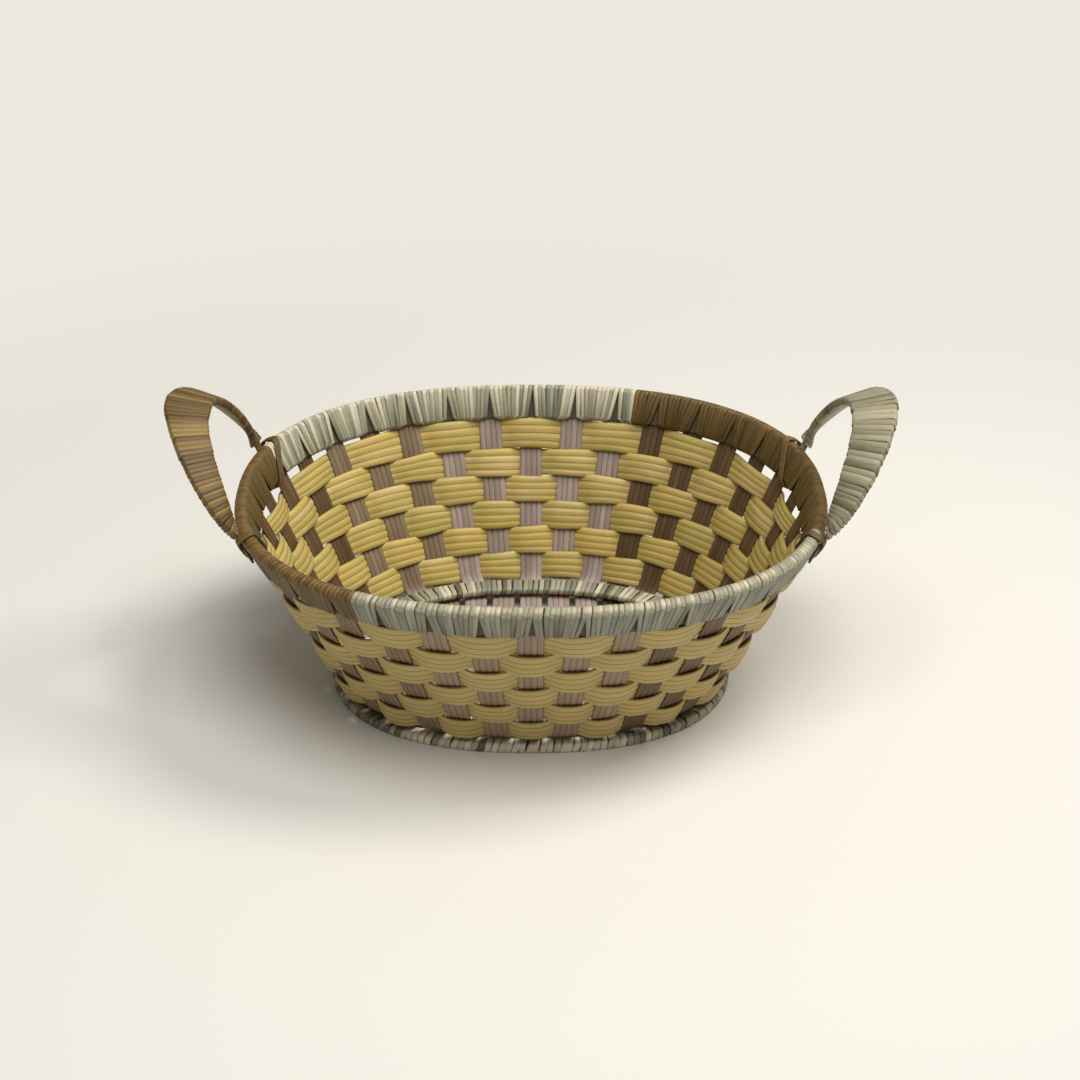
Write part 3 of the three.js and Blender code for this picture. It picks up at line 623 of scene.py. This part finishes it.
for i in range(-cross_lanes, cross_lanes + 1):
    lane = i * cross_pitch
    reach = lane_reach(lane, floor_half[0], floor_half[1])
    path = strip_path((QUARTER + i, STAKES - QUARTER - i), (0, 1, 0), (-1, 0, 0), lane, reach,
                      long_pitch, long_lanes, (i + cross_lanes + 1) % 2)
    dye = "mauve"
    if abs(i) > MAUVE_LANES:
        dye = "umber" if i > 0 else "brown"
    make_strip(f"cross_strip_{i + cross_lanes + 1}", path, dye)
print(f"{LONG_STRIPS + CROSS_STRIPS} strips, {strip_width:.1f} mm wide")

# %% [markdown]
# ## Woven rows
# Each row goes once round the basket, outside one stake and inside the next, and the row above goes
# the other way. A row is a fuller bundle than a strip, so it shows as a row of pillows. The top row
# spreads up to the rim at the front and back, and leaves holes at the two ends. A cosine with flat
# tops carries a row in and out, and a slow random sway keeps the rows from looking ruled.

# %% Make the woven rows
ROW_POINTS = 14  # to each stake
ROW_BELLY = 3.0
ROW_GROOVE, ROW_ROUNDNESS = 0.3, 0.6
ROW_REACH = 2.1  # middle of a row from the middle of the wall, at a stake
ROW_LAP = 0.9  # rows are pushed down on each other
TOP_LIFT = 2.0  # the top row's upper edge, above its place at the front and back
END_HOLE = 5.0  # and below it at the two ends
END_POWER = 4
ROW_SWAY, SWAY_WAVES = 0.4, (3, 5, 8, 13)
ROW_SWELL, SWELL_WAVES = 0.06, (7, 11, 16, 19)
SWELL_SEED = 10


def sway(place, size, waves, seed):
    """A slow wave round the basket that joins up with itself."""
    draw = np.random.default_rng(seed)
    total = np.zeros_like(place)
    for count in waves:
        total += np.sin(2 * np.pi * count * place / STAKES + draw.uniform(0, 2 * np.pi))
    return size * total / 2


for row in range(1, ROWS + 1):
    low, high = row_edges[ROWS - row], row_edges[ROWS - row + 1]
    place = np.arange(STAKES * ROW_POINTS) / ROW_POINTS
    z = (low + high) / 2 + sway(place, ROW_SWAY, SWAY_WAVES, row)
    towards_end = np.cos(stake_angle(place)) ** END_POWER
    lift = (TOP_LIFT - (TOP_LIFT + END_HOLE) * towards_end) * (row == 1)
    point, out, _ = wall_frame(place, z + lift / 2)
    swell = 1 + sway(place, ROW_SWELL, SWELL_WAVES, SWELL_SEED + row)
    in_or_out = ROW_REACH * swell * weave_wave(place + row - 1)
    sweep(f"weaver_{row}_strands", point + out * in_or_out[:, None], out, [f"weaver_{row}"],
          "gold_weave", strips["gold"], row_width + ROW_LAP, ROW_BELLY, STRIP_STRANDS, ROW_GROOVE,
          ROW_ROUNDNESS, BUNDLE_SECTION, closed=True, scale=swell, extra=lift, tone=rng.random())
print(f"{ROWS} woven rows, {row_width + ROW_LAP:.1f} mm wide")

# %% [markdown]
# ## Windings
# Cord is wound round the rim, the two rings and the handles, turn beside turn. One long path spirals
# round each: the outline of one turn is a rectangle with round corners, and its place moves on as it
# goes round. A turn's tone is drawn once, and its corners are shifted a little, because no winding is
# laid quite evenly. Copies of one loop on points would be quicker, but would not be one cord.

# %% The outline of a turn
TURN_CORNERS = (-45, 45, 135, 225)  # degrees
CORNER_BENDS = (-35, 0, 35)  # three points to a corner


def turn_outline(depth, height, radius):
    """Points of one turn, as shares of its half depth and height, and the way each faces."""
    angles = np.radians([corner + bend for corner in TURN_CORNERS for bend in CORNER_BENDS])
    faces = np.stack([np.cos(angles), np.sin(angles)], axis=1)
    middles = np.sign(faces) * (depth - radius, height - radius)
    return (middles + radius * faces) / (depth, height), faces


print(len(turn_outline(2, 2, 1)[0]), "points to a turn")

# %% [markdown]
# A carrier says, for places along the thing that is wound, where its middle is and how far a turn
# reaches in depth and in height. With that, one function winds all of them. A squeeze draws turns
# together where there is little room, a fade darkens their tone by place, partly as painted shade, and
# wear with a painted highlight pales their tops.

# %% One long path of turns
TURN_UNREST = 0.12  # of a turn's width
TURN_SWELL = 0.03
CORD_ROUNDNESS, CORD_SECTION = 0.6, 8
PALE_TOP_FROM = 0.75  # share of the way up a turn


def wind(node, slot, material, carrier, first, last, turns, size, radius, cord, seed,
         unrest=TURN_UNREST, squeeze=None, table=NO_TABLE, tones=(0.0, 1.0), fade=None, top_wear_and_highlight=0.0):
    """Wind a cord, given by its width and thickness, from the first place to the last."""
    spots, faces = turn_outline(*size, radius)
    per_turn = len(spots)
    draw = np.random.default_rng(seed)
    steps = np.arange(turns * per_turn)
    turn = steps // per_turn
    corner = steps % per_turn
    a, b = spots[corner].T
    pitch = (last - first) / turns
    lean = draw.uniform(-1, 1, turns)[turn]
    shift = draw.uniform(-1, 1, turns)[turn]
    place = first + (steps / per_turn + 0.5 + unrest * (lean * b + shift)) * pitch
    scale = np.ones(len(steps))
    if squeeze:
        place, scale = squeeze(place, b)
    point, deep, tall = carrier(place)
    swell = 1 + draw.uniform(-TURN_SWELL, TURN_SWELL, turns)[turn]
    points = point + deep * (a * swell)[:, None] + tall * b[:, None]
    hints = unit(deep) * faces[corner][:, :1] + unit(tall) * faces[corner][:, 1:]
    tone = draw.uniform(*tones, turns)
    if fade:
        tone = tone * fade(first + (np.arange(turns) + 0.5) * pitch)
    # Wear and a painted highlight: the tops of the turns move up the ramp to paler spools.
    wear_and_highlight = top_wear_and_highlight * np.clip((b - PALE_TOP_FROM) / (1 - PALE_TOP_FROM), 0, 1)
    sweep(f"{node}_turns", points, hints, [node], slot, material, *cord, roundness=CORD_ROUNDNESS,
          section=CORD_SECTION, scale=scale, tone=tone[turn] + wear_and_highlight, table=table)


# %% [markdown]
# The rim's turns lie side by side over the top, where wear and a painted highlight make them paler,
# and draw together underneath to pass between the stakes.

# %% Rim windings
RIM_TURNS = 10  # to each stake
RIM_OVERLAP = 1.2  # a turn's width, by the room it has
RIM_CORD = RIM_OVERLAP * stake_pitch / RIM_TURNS, 1.4
RIM_RADIUS = 2.4
# Paler tops of the rim's turns: wear, and a painted highlight.
RIM_WEAR_AND_HIGHLIGHT = 0.55
RIM_SEED = 20
RIM_FAN = 3.5  # turns draw together over this height, above the lower edge
FAN_POWER, FAN_SQUEEZE = 1.5, 0.45
rim_size = wrap_outside - RIM_CORD[1] / 2, wrap_high - RIM_CORD[1] / 2
open_share = (stake_pitch - strip_width) / stake_pitch
fan_top = -1 + RIM_FAN / rim_size[1]


def rim_carrier(place):
    point, out, up = rim_frame(place)
    return point, out * rim_size[0], up * rim_size[1]


def bunch(place, b):
    """Under the rim, turns crowd into the gaps between the stakes."""
    crowd = np.clip((fan_top - b) / (fan_top + 1), 0, 1) ** FAN_POWER
    gap = np.floor(place) + 0.5
    return place + (gap - place) * (1 - open_share) * crowd, 1 - FAN_SQUEEZE * crowd


# The grey at the front keeps to darker tones than at the back, as painted shade.
RIM_WINDINGS = [  # dye, side, first and last place in stakes, range of tones
    ("brown", "right", -2, 6.5, (0.0, 1.0)),
    ("grey", "back", 6.5, 16, (0.25, 1.0)),
    ("brown", "left", 16, 23.5, (0.0, 1.0)),
    ("grey", "front", 23.5, 34, (0.0, 0.42)),
]
for i, (dye, side, first, last, tones) in enumerate(RIM_WINDINGS):
    wind(f"rim_winding_{dye}_{side}", f"{dye}_winding", cords[dye], rim_carrier, first, last,
         round(RIM_TURNS * (last - first)), rim_size, RIM_RADIUS, RIM_CORD, RIM_SEED + i,
         squeeze=bunch, tones=tones, top_wear_and_highlight=RIM_WEAR_AND_HIGHLIGHT)
print(f"rim wound with {RIM_TURNS * STAKES} turns")

# %% [markdown]
# The foot ring carries the basket on its turns, which are flattened where they stand. It is palest
# at the front and back and darker at the two ends, partly darker cord and partly painted shade. The
# floor ring lies on the woven floor, and covers the bend of the strips inside.

# %% A wound ring
RING_TURNS = 5  # to each stake
RING_OVERLAP = 1.12


def ring_carrier(half_length, half_width, z, size):
    def carrier(place):
        def at(spot):
            flat = oval(half_length, half_width, stake_angle(spot))
            return np.concatenate([flat, np.full((len(flat), 1), z)], axis=1)

        way = unit(at(place + NUDGE) - at(place - NUDGE))
        out = np.cross(way, [0.0, 0.0, 1.0])
        return at(place), out * size[0], np.tile([0.0, 0.0, size[1]], (len(place), 1))

    return carrier


def wind_ring(ring, dye, half, z, core, cord, radius, seed, table=NO_TABLE, fade=None):
    size = core[0] / 2 + WRAP_SEAT + cord / 2, core[1] / 2 + WRAP_SEAT + cord / 2
    carrier = ring_carrier(*half, z, size)
    pitch = math.pi * sum(half) / (STAKES * RING_TURNS)
    for i, side in enumerate(("back", "front")):
        first = i * STAKES / 2
        wind(f"{ring}_winding_{side}", f"{dye}_winding", cords[dye], carrier, first,
             first + STAKES / 2, RING_TURNS * STAKES // 2, size, radius, (RING_OVERLAP * pitch, cord),
             seed + i, table=table, fade=fade)


# %% Foot ring and floor ring
FOOT_RADIUS, FOOT_SEED = 1.6, 31
FLOOR_RING_RADIUS, FLOOR_RING_SEED = 1.2, 41
FLOOR_RING_SPREAD = 4  # its turns reach this far further in over the floor than its core asks
PALE_SPAN, PALE_TONES = (0.8, 0.94), (0.2, 1.0)


# Partly painted shade: turns towards the two ends take darker tones.
def pale_front_shaded_ends(place):
    return np.interp(np.abs(np.sin(stake_angle(place))), PALE_SPAN, PALE_TONES)


foot_inset = RING_CORE_WIDTH / 2 + WRAP_SEAT + CORD
foot_middle = WRAP_SEAT + CORD - FOOT_CUT + RING_CORE_HEIGHT / 2
wind_ring("foot_ring", "cream", (BASE_LENGTH / 2 - foot_inset, BASE_WIDTH / 2 - foot_inset),
          foot_middle, (RING_CORE_WIDTH, RING_CORE_HEIGHT), CORD, FOOT_RADIUS, FOOT_SEED, table=0.0,
          fade=pale_front_shaded_ends)

floor_ring_width = FLOOR_RING_WIDTH + FLOOR_RING_SPREAD
floor_inset = FLOOR_RING_INSET + floor_ring_width / 2 + WRAP_SEAT + FLOOR_RING_CORD
floor_under = floor_high + STRIP_THICKNESS / 2 + SEAT
floor_middle = floor_under + FLOOR_RING_CORD + WRAP_SEAT + FLOOR_RING_HEIGHT / 2
wind_ring("floor_ring", "grey", (floor_half[0] - floor_inset, floor_half[1] - floor_inset), floor_middle,
          (floor_ring_width, FLOOR_RING_HEIGHT), FLOOR_RING_CORD, FLOOR_RING_RADIUS, FLOOR_RING_SEED)
print(f"foot ring at {foot_middle:.1f} mm and floor ring at {floor_middle:.1f} mm")

# %% [markdown]
# ## Handles
# Each handle is a flat strap that starts narrow on the outside of the rim, rises and widens to the
# grip. It is wound with cord from foot to foot. The strap follows one curve for each leg, level
# across at the feet and leaning a little at the grip. A bent plane would do for the shape, but here
# the winding needs the strap's middle, width and directions at every turn.

# %% The strap's curve
HANDLE_REACH, HANDLE_RISE = 20, 43.5
HANDLE_WIDTH, HANDLE_FOOT_WIDTH, HANDLE_THICKNESS = 20.4, 5.6, 1.6
HANDLE_CORD = 1
HANDLE_TILT = math.radians(12)
FOOT_STAKES, FOOT_LIFT = 2, 3
LEG_PULL, GRIP_PULL = 19, 29.5
TIE_THICKNESS = 1.2
LEG_STEPS = 40
WIDENING = {1: 0.55, -1: 0.8}  # the right strap widens early on its way up, the left one later
foot_out = wrap_outside + SEAT + HANDLE_THICKNESS / 2


def rim_spot(place, out, up):
    point, out_way, up_way = rim_frame(np.atleast_1d(np.asarray(place, float)))
    return point + out_way * np.reshape(out, (-1, 1)) + up_way * np.reshape(up, (-1, 1))


def handle_frames(side):
    """Points from foot to foot, with across, through, half width and share of the way at each."""
    place = FOOT_STAKES if side > 0 else STAKES / 2 - FOOT_STAKES
    start = rim_spot(place, foot_out, wrap_high + TIE_THICKNESS + 2 * SEAT)[0]
    rise = rim_frame(np.array([float(place)]))[2][0]
    grip = np.array([side * (RIM_LENGTH / 2 + HANDLE_REACH), 0, RIM_HEIGHT + HANDLE_RISE])
    t = np.linspace(0, 1, LEG_STEPS)[:, None]
    points = ((1 - t) ** 3 * start + 3 * (1 - t) ** 2 * t * (start + rise * LEG_PULL)
              + 3 * (1 - t) * t ** 2 * (grip + [0, GRIP_PULL, 0]) + t ** 3 * grip)
    ways = unit(np.gradient(points, axis=0))
    ways[0], ways[-1] = rise, (0, -1, 0)
    steps = np.linalg.norm(np.diff(points, axis=0), axis=1)
    share = np.concatenate([[0], np.cumsum(steps)]) / steps.sum()
    level = unit(np.cross([0.0, 0.0, -side], ways))
    lean = (side * HANDLE_TILT * share ** 2 * (3 - 2 * share))[:, None]
    across = level * np.cos(lean) + np.cross(ways, level) * np.sin(lean)
    through = -side * np.cross(ways, across)
    half = (HANDLE_FOOT_WIDTH + (HANDLE_WIDTH - HANDLE_FOOT_WIDTH) * share ** WIDENING[side]) / 2
    flip = np.array([1, -1, 1])
    back = slice(LEG_STEPS - 2, None, -1)
    both = [np.concatenate([v, v[back] * flip]) for v in (points, across, through)]
    length = np.concatenate([share, 2 - share[back]]) / 2
    return (*both, np.concatenate([half, half[back]]), length)


handle_curves = {"right": handle_frames(1), "left": handle_frames(-1)}
print("grip of the right handle at", handle_curves["right"][0][LEG_STEPS - 1].round(1))

# %% [markdown]
# The turns lie closer on the narrow feet and spread on the grip. The right handle is wound in beige
# and the left one in umber, and between the turns the strap itself shows, in the same plastic.

# %% Handle windings
HANDLE_TURNS = {"right": 56, "left": 70}
HANDLE_OVERLAP, HANDLE_RADIUS, HANDLE_UNREST = 1.3, 1.2, 0.06
FOOT_CROWD = 0.25  # turns lie this much closer at the feet than on average, and wider at the grip
HANDLE_CORDS = {"right": cords["beige"], "left": cords["umber"]}
HANDLE_SEEDS = {"right": 51, "left": 52}
wound_past = WRAP_SEAT + HANDLE_CORD / 2
handle_size = HANDLE_WIDTH / 2 + wound_past, HANDLE_THICKNESS / 2 + wound_past


def handle_carrier(points, across, through, half, length):
    def carrier(place):
        def mix(values):
            return np.stack([np.interp(place, length, values[:, i]) for i in range(3)], axis=1)

        wide = np.interp(place, length, half) + wound_past
        return mix(points), unit(mix(across)) * wide[:, None], unit(mix(through)) * handle_size[1]

    return carrier


def crowd_feet(place, b):
    """Turns overlap more on the narrow feet than on the grip."""
    spread = 1 - FOOT_CROWD * np.cos(2 * np.pi * place)
    return place - FOOT_CROWD * np.sin(2 * np.pi * place) / (2 * np.pi), spread / (1 + FOOT_CROWD)


def wind_handle(side, slot):
    curve, turns = handle_curves[side], HANDLE_TURNS[side]
    run = np.linalg.norm(np.diff(curve[0], axis=0), axis=1).sum()
    cord = HANDLE_OVERLAP * (1 + FOOT_CROWD) * run / turns, HANDLE_CORD
    wind(f"{side}_handle_winding", slot, HANDLE_CORDS[side], handle_carrier(*curve), 0, 1, turns,
         handle_size, HANDLE_RADIUS, cord, HANDLE_SEEDS[side], unrest=HANDLE_UNREST,
         squeeze=crowd_feet)


print("turns on the handles:", HANDLE_TURNS)

# %% Make the handles
STRAP_STRANDS, STRAP_SECTION = 3, 24
STRAP_GROOVE, STRAP_ROUNDNESS = 0.4, 0.5
FOOT_STEPS = 10


def make_strap(side, back_foot, front_foot):
    points, _, through, half, _ = handle_curves[side]
    feet = np.array([back_foot, front_foot], float)
    rises = np.linspace(FOOT_LIFT - wrap_high, wrap_high, FOOT_STEPS)
    back, front = [rim_spot(np.full(FOOT_STEPS, foot), foot_out, rises) for foot in feet]
    back_face, front_face = [np.tile(-way, (FOOT_STEPS, 1)) for way in rim_frame(feet)[1]]
    strap = np.concatenate([back, points, front[::-1]])
    faces = np.concatenate([back_face, through, front_face])
    extra = np.pad(2 * half - HANDLE_FOOT_WIDTH, FOOT_STEPS)
    sweep(f"{side}_handle_strap", strap, faces, [f"{side}_handle_core"], "core", HANDLE_CORDS[side],
          HANDLE_FOOT_WIDTH, HANDLE_THICKNESS, STRAP_STRANDS, STRAP_GROOVE, STRAP_ROUNDNESS,
          STRAP_SECTION, extra=extra, tone=rng.random())


wind_handle("right", "grey_winding")
make_strap("right", FOOT_STAKES, -FOOT_STAKES)
wind_handle("left", "brown_winding")
make_strap("left", STAKES / 2 - FOOT_STAKES, STAKES / 2 + FOOT_STAKES)
print(f"straps from {HANDLE_FOOT_WIDTH} mm wide at the feet to {HANDLE_WIDTH} mm at the grip")

# %% [markdown]
# A tie holds each foot: a few turns of cord that come out of the hole beside the stake, slant over
# the foot, go over the rim and slant back down inside. Five corners give the route of one turn. They
# are rounded by averaging, and each turn lies beside the one before.

# %% Ties
TIE_WIDTH, TIE_SEAT, TIE_CLEAR = 4.8, 0.2, 0.5
TIE_TURNS, TIE_OVERLAP, TIE_ROUNDNESS = 4, 1.2, 0.7
TIE_STEPS = 8  # points between corners
TIE_ROUNDS = 4  # of averaging
TIE_SEED = 61
draw_tone = np.random.default_rng(TIE_SEED)


def make_tie(node, place, way):
    low = strip_width / 2 + TIE_CLEAR + TIE_WIDTH / 2
    high = HANDLE_FOOT_WIDTH / 2 + TIE_CLEAR + TIE_WIDTH / 2
    against = wrap_outside + TIE_THICKNESS / 2
    over = against + HANDLE_THICKNESS + TIE_SEAT
    level = wrap_high + TIE_THICKNESS / 2
    meet = level * (2 * (low - high) / (low + high) - 1)  # one straight slant over the foot
    corners = np.array([(-low, -against, -level), (-low, against, -level), (-high, over, meet),
                        (high, over, level), (high, -against, level)])
    share = np.linspace(0, 1, TIE_STEPS, endpoint=False)[:, None]
    loop = np.concatenate([a + (b - a) * share for a, b in zip(corners, np.roll(corners, -1, axis=0))])
    for _ in range(TIE_ROUNDS):
        loop = (np.roll(loop, 1, axis=0) + 2 * loop + np.roll(loop, -1, axis=0)) / 4
    ahead = np.roll(loop, -1, axis=0) - np.roll(loop, 1, axis=0)
    route = np.tile(loop, (TIE_TURNS, 1))
    facing = np.tile(ahead, (TIE_TURNS, 1))
    turn = np.arange(len(route)) / len(loop) - TIE_TURNS / 2
    beside = way * (route[:, 0] + turn * TIE_WIDTH / TIE_TURNS) / stake_pitch
    points = rim_spot(place + beside, route[:, 1], route[:, 2])
    out, up = rim_frame(place + beside)[1:]
    hints = out * facing[:, 2:] - up * facing[:, 1:2]
    tone = draw_tone.random(TIE_TURNS).repeat(len(loop))
    sweep(f"{node}_turns", points, hints, [node], "brown_winding", cords["brown"],
          TIE_OVERLAP * TIE_WIDTH / TIE_TURNS, TIE_THICKNESS, roundness=TIE_ROUNDNESS,
          section=CORD_SECTION, tone=tone)


for side, end in (("right", 0), ("left", STAKES / 2)):
    make_tie(f"{side}_handle_tie_1", end - FOOT_STAKES, -1)
    make_tie(f"{side}_handle_tie_2", end + FOOT_STAKES, 1)
print(f"ties of {TIE_TURNS} turns on the feet of both handles")

# %% [markdown]
# ## What the windings hide
# The hoops in the rim and the cores of the two rings stay as they were made, because only a sliver
# of them shows between turns. They get a dull moulded plastic with a little mottling, dark as painted
# shade between the turns.

# %% Cores
CORE_MOTTLE = 4 * MM
# Dark colours that stand for the shade between turns: painted shade.
CORE_SHADE_COLOURS = ["#453b2a", "#5c523e"]
CORE_ROUGHNESS = 0.7
CORES = ("rim_outer_hoop", "rim_inner_hoop", "foot_ring_core", "floor_ring_core")

core_plastic, tree = new_material("moulded_polypropylene_core")
spot = add_node(tree, "ShaderNodeTexCoord").outputs["Object"]
mottle = add_node(tree, "ShaderNodeTexNoise", {"Vector": spot, "Scale": 1 / CORE_MOTTLE, "Detail": 3.0})
colour = add_node(tree, "ShaderNodeValToRGB", {"Fac": mottle}, stops=CORE_SHADE_COLOURS)
finish_plastic(tree, colour, mottle, least=CORE_ROUGHNESS, added=0.0)
for name in CORES:
    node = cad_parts[name]
    node.data.materials.clear()
    node.data.materials.append(core_plastic)
print("painted:", ", ".join(CORES))

# %% [markdown]
# ## Studio
# A plain pale floor, with soft light from overhead and more of it from the right. The inside of the
# back wall faces the light, and the front hangs in shade. Far from the basket the floor fades into
# one pale colour for the camera alone, so that it needs no bent backdrop and sends no more light on
# to the basket.

# %% Floor
PALE, PAPER = "#ece8e0", "#e4e2de"
PAPER_ROUGHNESS = 0.8
FADE_START, FADE_END = 0.25, 0.7  # metres from the basket's middle
FLOOR_HALF = 6.0

paper, tree = new_material("pale_studio_paper")
near = add_node(tree, "ShaderNodeBsdfPrincipled", {
    "Base Color": linear(PAPER), "Roughness": PAPER_ROUGHNESS,
})
far = add_node(tree, "ShaderNodeEmission", {"Color": linear(PALE), "Strength": 1.0})
spot = add_node(tree, "ShaderNodeTexCoord").outputs["Object"]
distance = add_node(tree, "ShaderNodeVectorMath", {0: spot}, operation="LENGTH").outputs["Value"]
fade = add_node(tree, "ShaderNodeMapRange", {
    "Value": distance, "From Min": FADE_START, "From Max": FADE_END,
}, interpolation_type="SMOOTHSTEP")
seen = add_node(tree, "ShaderNodeLightPath").outputs["Is Camera Ray"]
share = add_node(tree, MATH, {0: fade, 1: seen}, operation="MULTIPLY")
mixed = add_node(tree, "ShaderNodeMixShader", {0: share, 1: near, 2: far})
add_node(tree, "ShaderNodeOutputMaterial", {"Surface": mixed})

floor_corners = [(x * FLOOR_HALF, y * FLOOR_HALF, 0) for x, y in ((-1, -1), (1, -1), (1, 1), (-1, 1))]
floor_mesh = bpy.data.meshes.new("studio_floor")
floor_mesh.from_pydata(floor_corners, [], [(0, 1, 2, 3)])
floor_mesh.materials.append(paper)
floor = bpy.data.objects.new("studio_floor", floor_mesh)
bpy.context.collection.objects.link(floor)
print(f"floor fades out by {FADE_END} m")

# %% Lights
LAMP_AIM = (0, 0, 0.05)
LAMPS = [  # name, place, width, watts, colour
    ("right_lamp", (1.05, 0.2, 1.7), 0.8, 21, "#fffaf0"),
    ("overhead_lamp", (0.1, -0.6, 1.95), 1.3, 25.5, "#fffdf8"),
]
AIR_STRENGTH = 0.29

for name, spot, size, power, code in LAMPS:
    data = bpy.data.lights.new(name, "AREA")
    data.shape = "DISK"
    data.size = size
    data.energy = power
    data.color = linear(code)[:3]
    lamp = bpy.data.objects.new(name, data)
    lamp.location = spot
    away = lamp.location - Vector(LAMP_AIM)
    lamp.rotation_euler = away.to_track_quat("Z", "Y").to_euler()
    bpy.context.collection.objects.link(lamp)

world = bpy.data.worlds.new("studio_air")
world.use_nodes = True
air = world.node_tree
air.nodes.clear()
seen = add_node(air, "ShaderNodeLightPath").outputs["Is Camera Ray"]
strength = add_node(air, "ShaderNodeMapRange", {"Value": seen, "To Min": AIR_STRENGTH, "To Max": 1.0})
add_node(air, "ShaderNodeOutputWorld", {
    "Surface": add_node(air, "ShaderNodeBackground", {"Color": linear(PALE), "Strength": strength}),
})
bpy.context.scene.world = world
print("lamps:", ", ".join(row[0] for row in LAMPS))

# %% [markdown]
# The camera looks down on the front from a little over a metre, through a long lens. A small shift
# of the lens sets the basket's place in the picture without turning the camera.

# %% Camera
ELEVATION = math.radians(29.2)
DISTANCE = 1.1
TARGET = 0.05435  # metres, height of the point it looks at
SENSOR, LENS = 36, 70.73
SHIFT_X, SHIFT_Y = 0.0083, 0.0338

camera_data = bpy.data.cameras.new("camera")
camera_data.sensor_width = SENSOR
camera_data.lens = LENS
camera_data.shift_x = SHIFT_X
camera_data.shift_y = SHIFT_Y
camera = bpy.data.objects.new("camera", camera_data)
camera.location = (0, -DISTANCE * math.cos(ELEVATION), TARGET + DISTANCE * math.sin(ELEVATION))
camera.rotation_euler = (math.pi / 2 - ELEVATION, 0, 0)
bpy.context.collection.objects.link(camera)
bpy.context.scene.camera = camera
bpy.context.scene.view_settings.view_transform = "Standard"
print("camera at", [round(v, 3) for v in camera.location])

# %% [markdown]
# ## Counts
# The dressed pieces and their triangles are counted, and the counts are printed.

# %% Counts and finish
triangles = []
for piece in PIECES:
    piece.data.calc_loop_triangles()
    triangles.append(len(piece.data.loop_triangles))
print(f"{len(PIECES)} pieces, {sum(triangles)} triangles, largest {max(triangles)}")
bpy.context.view_layer.update()
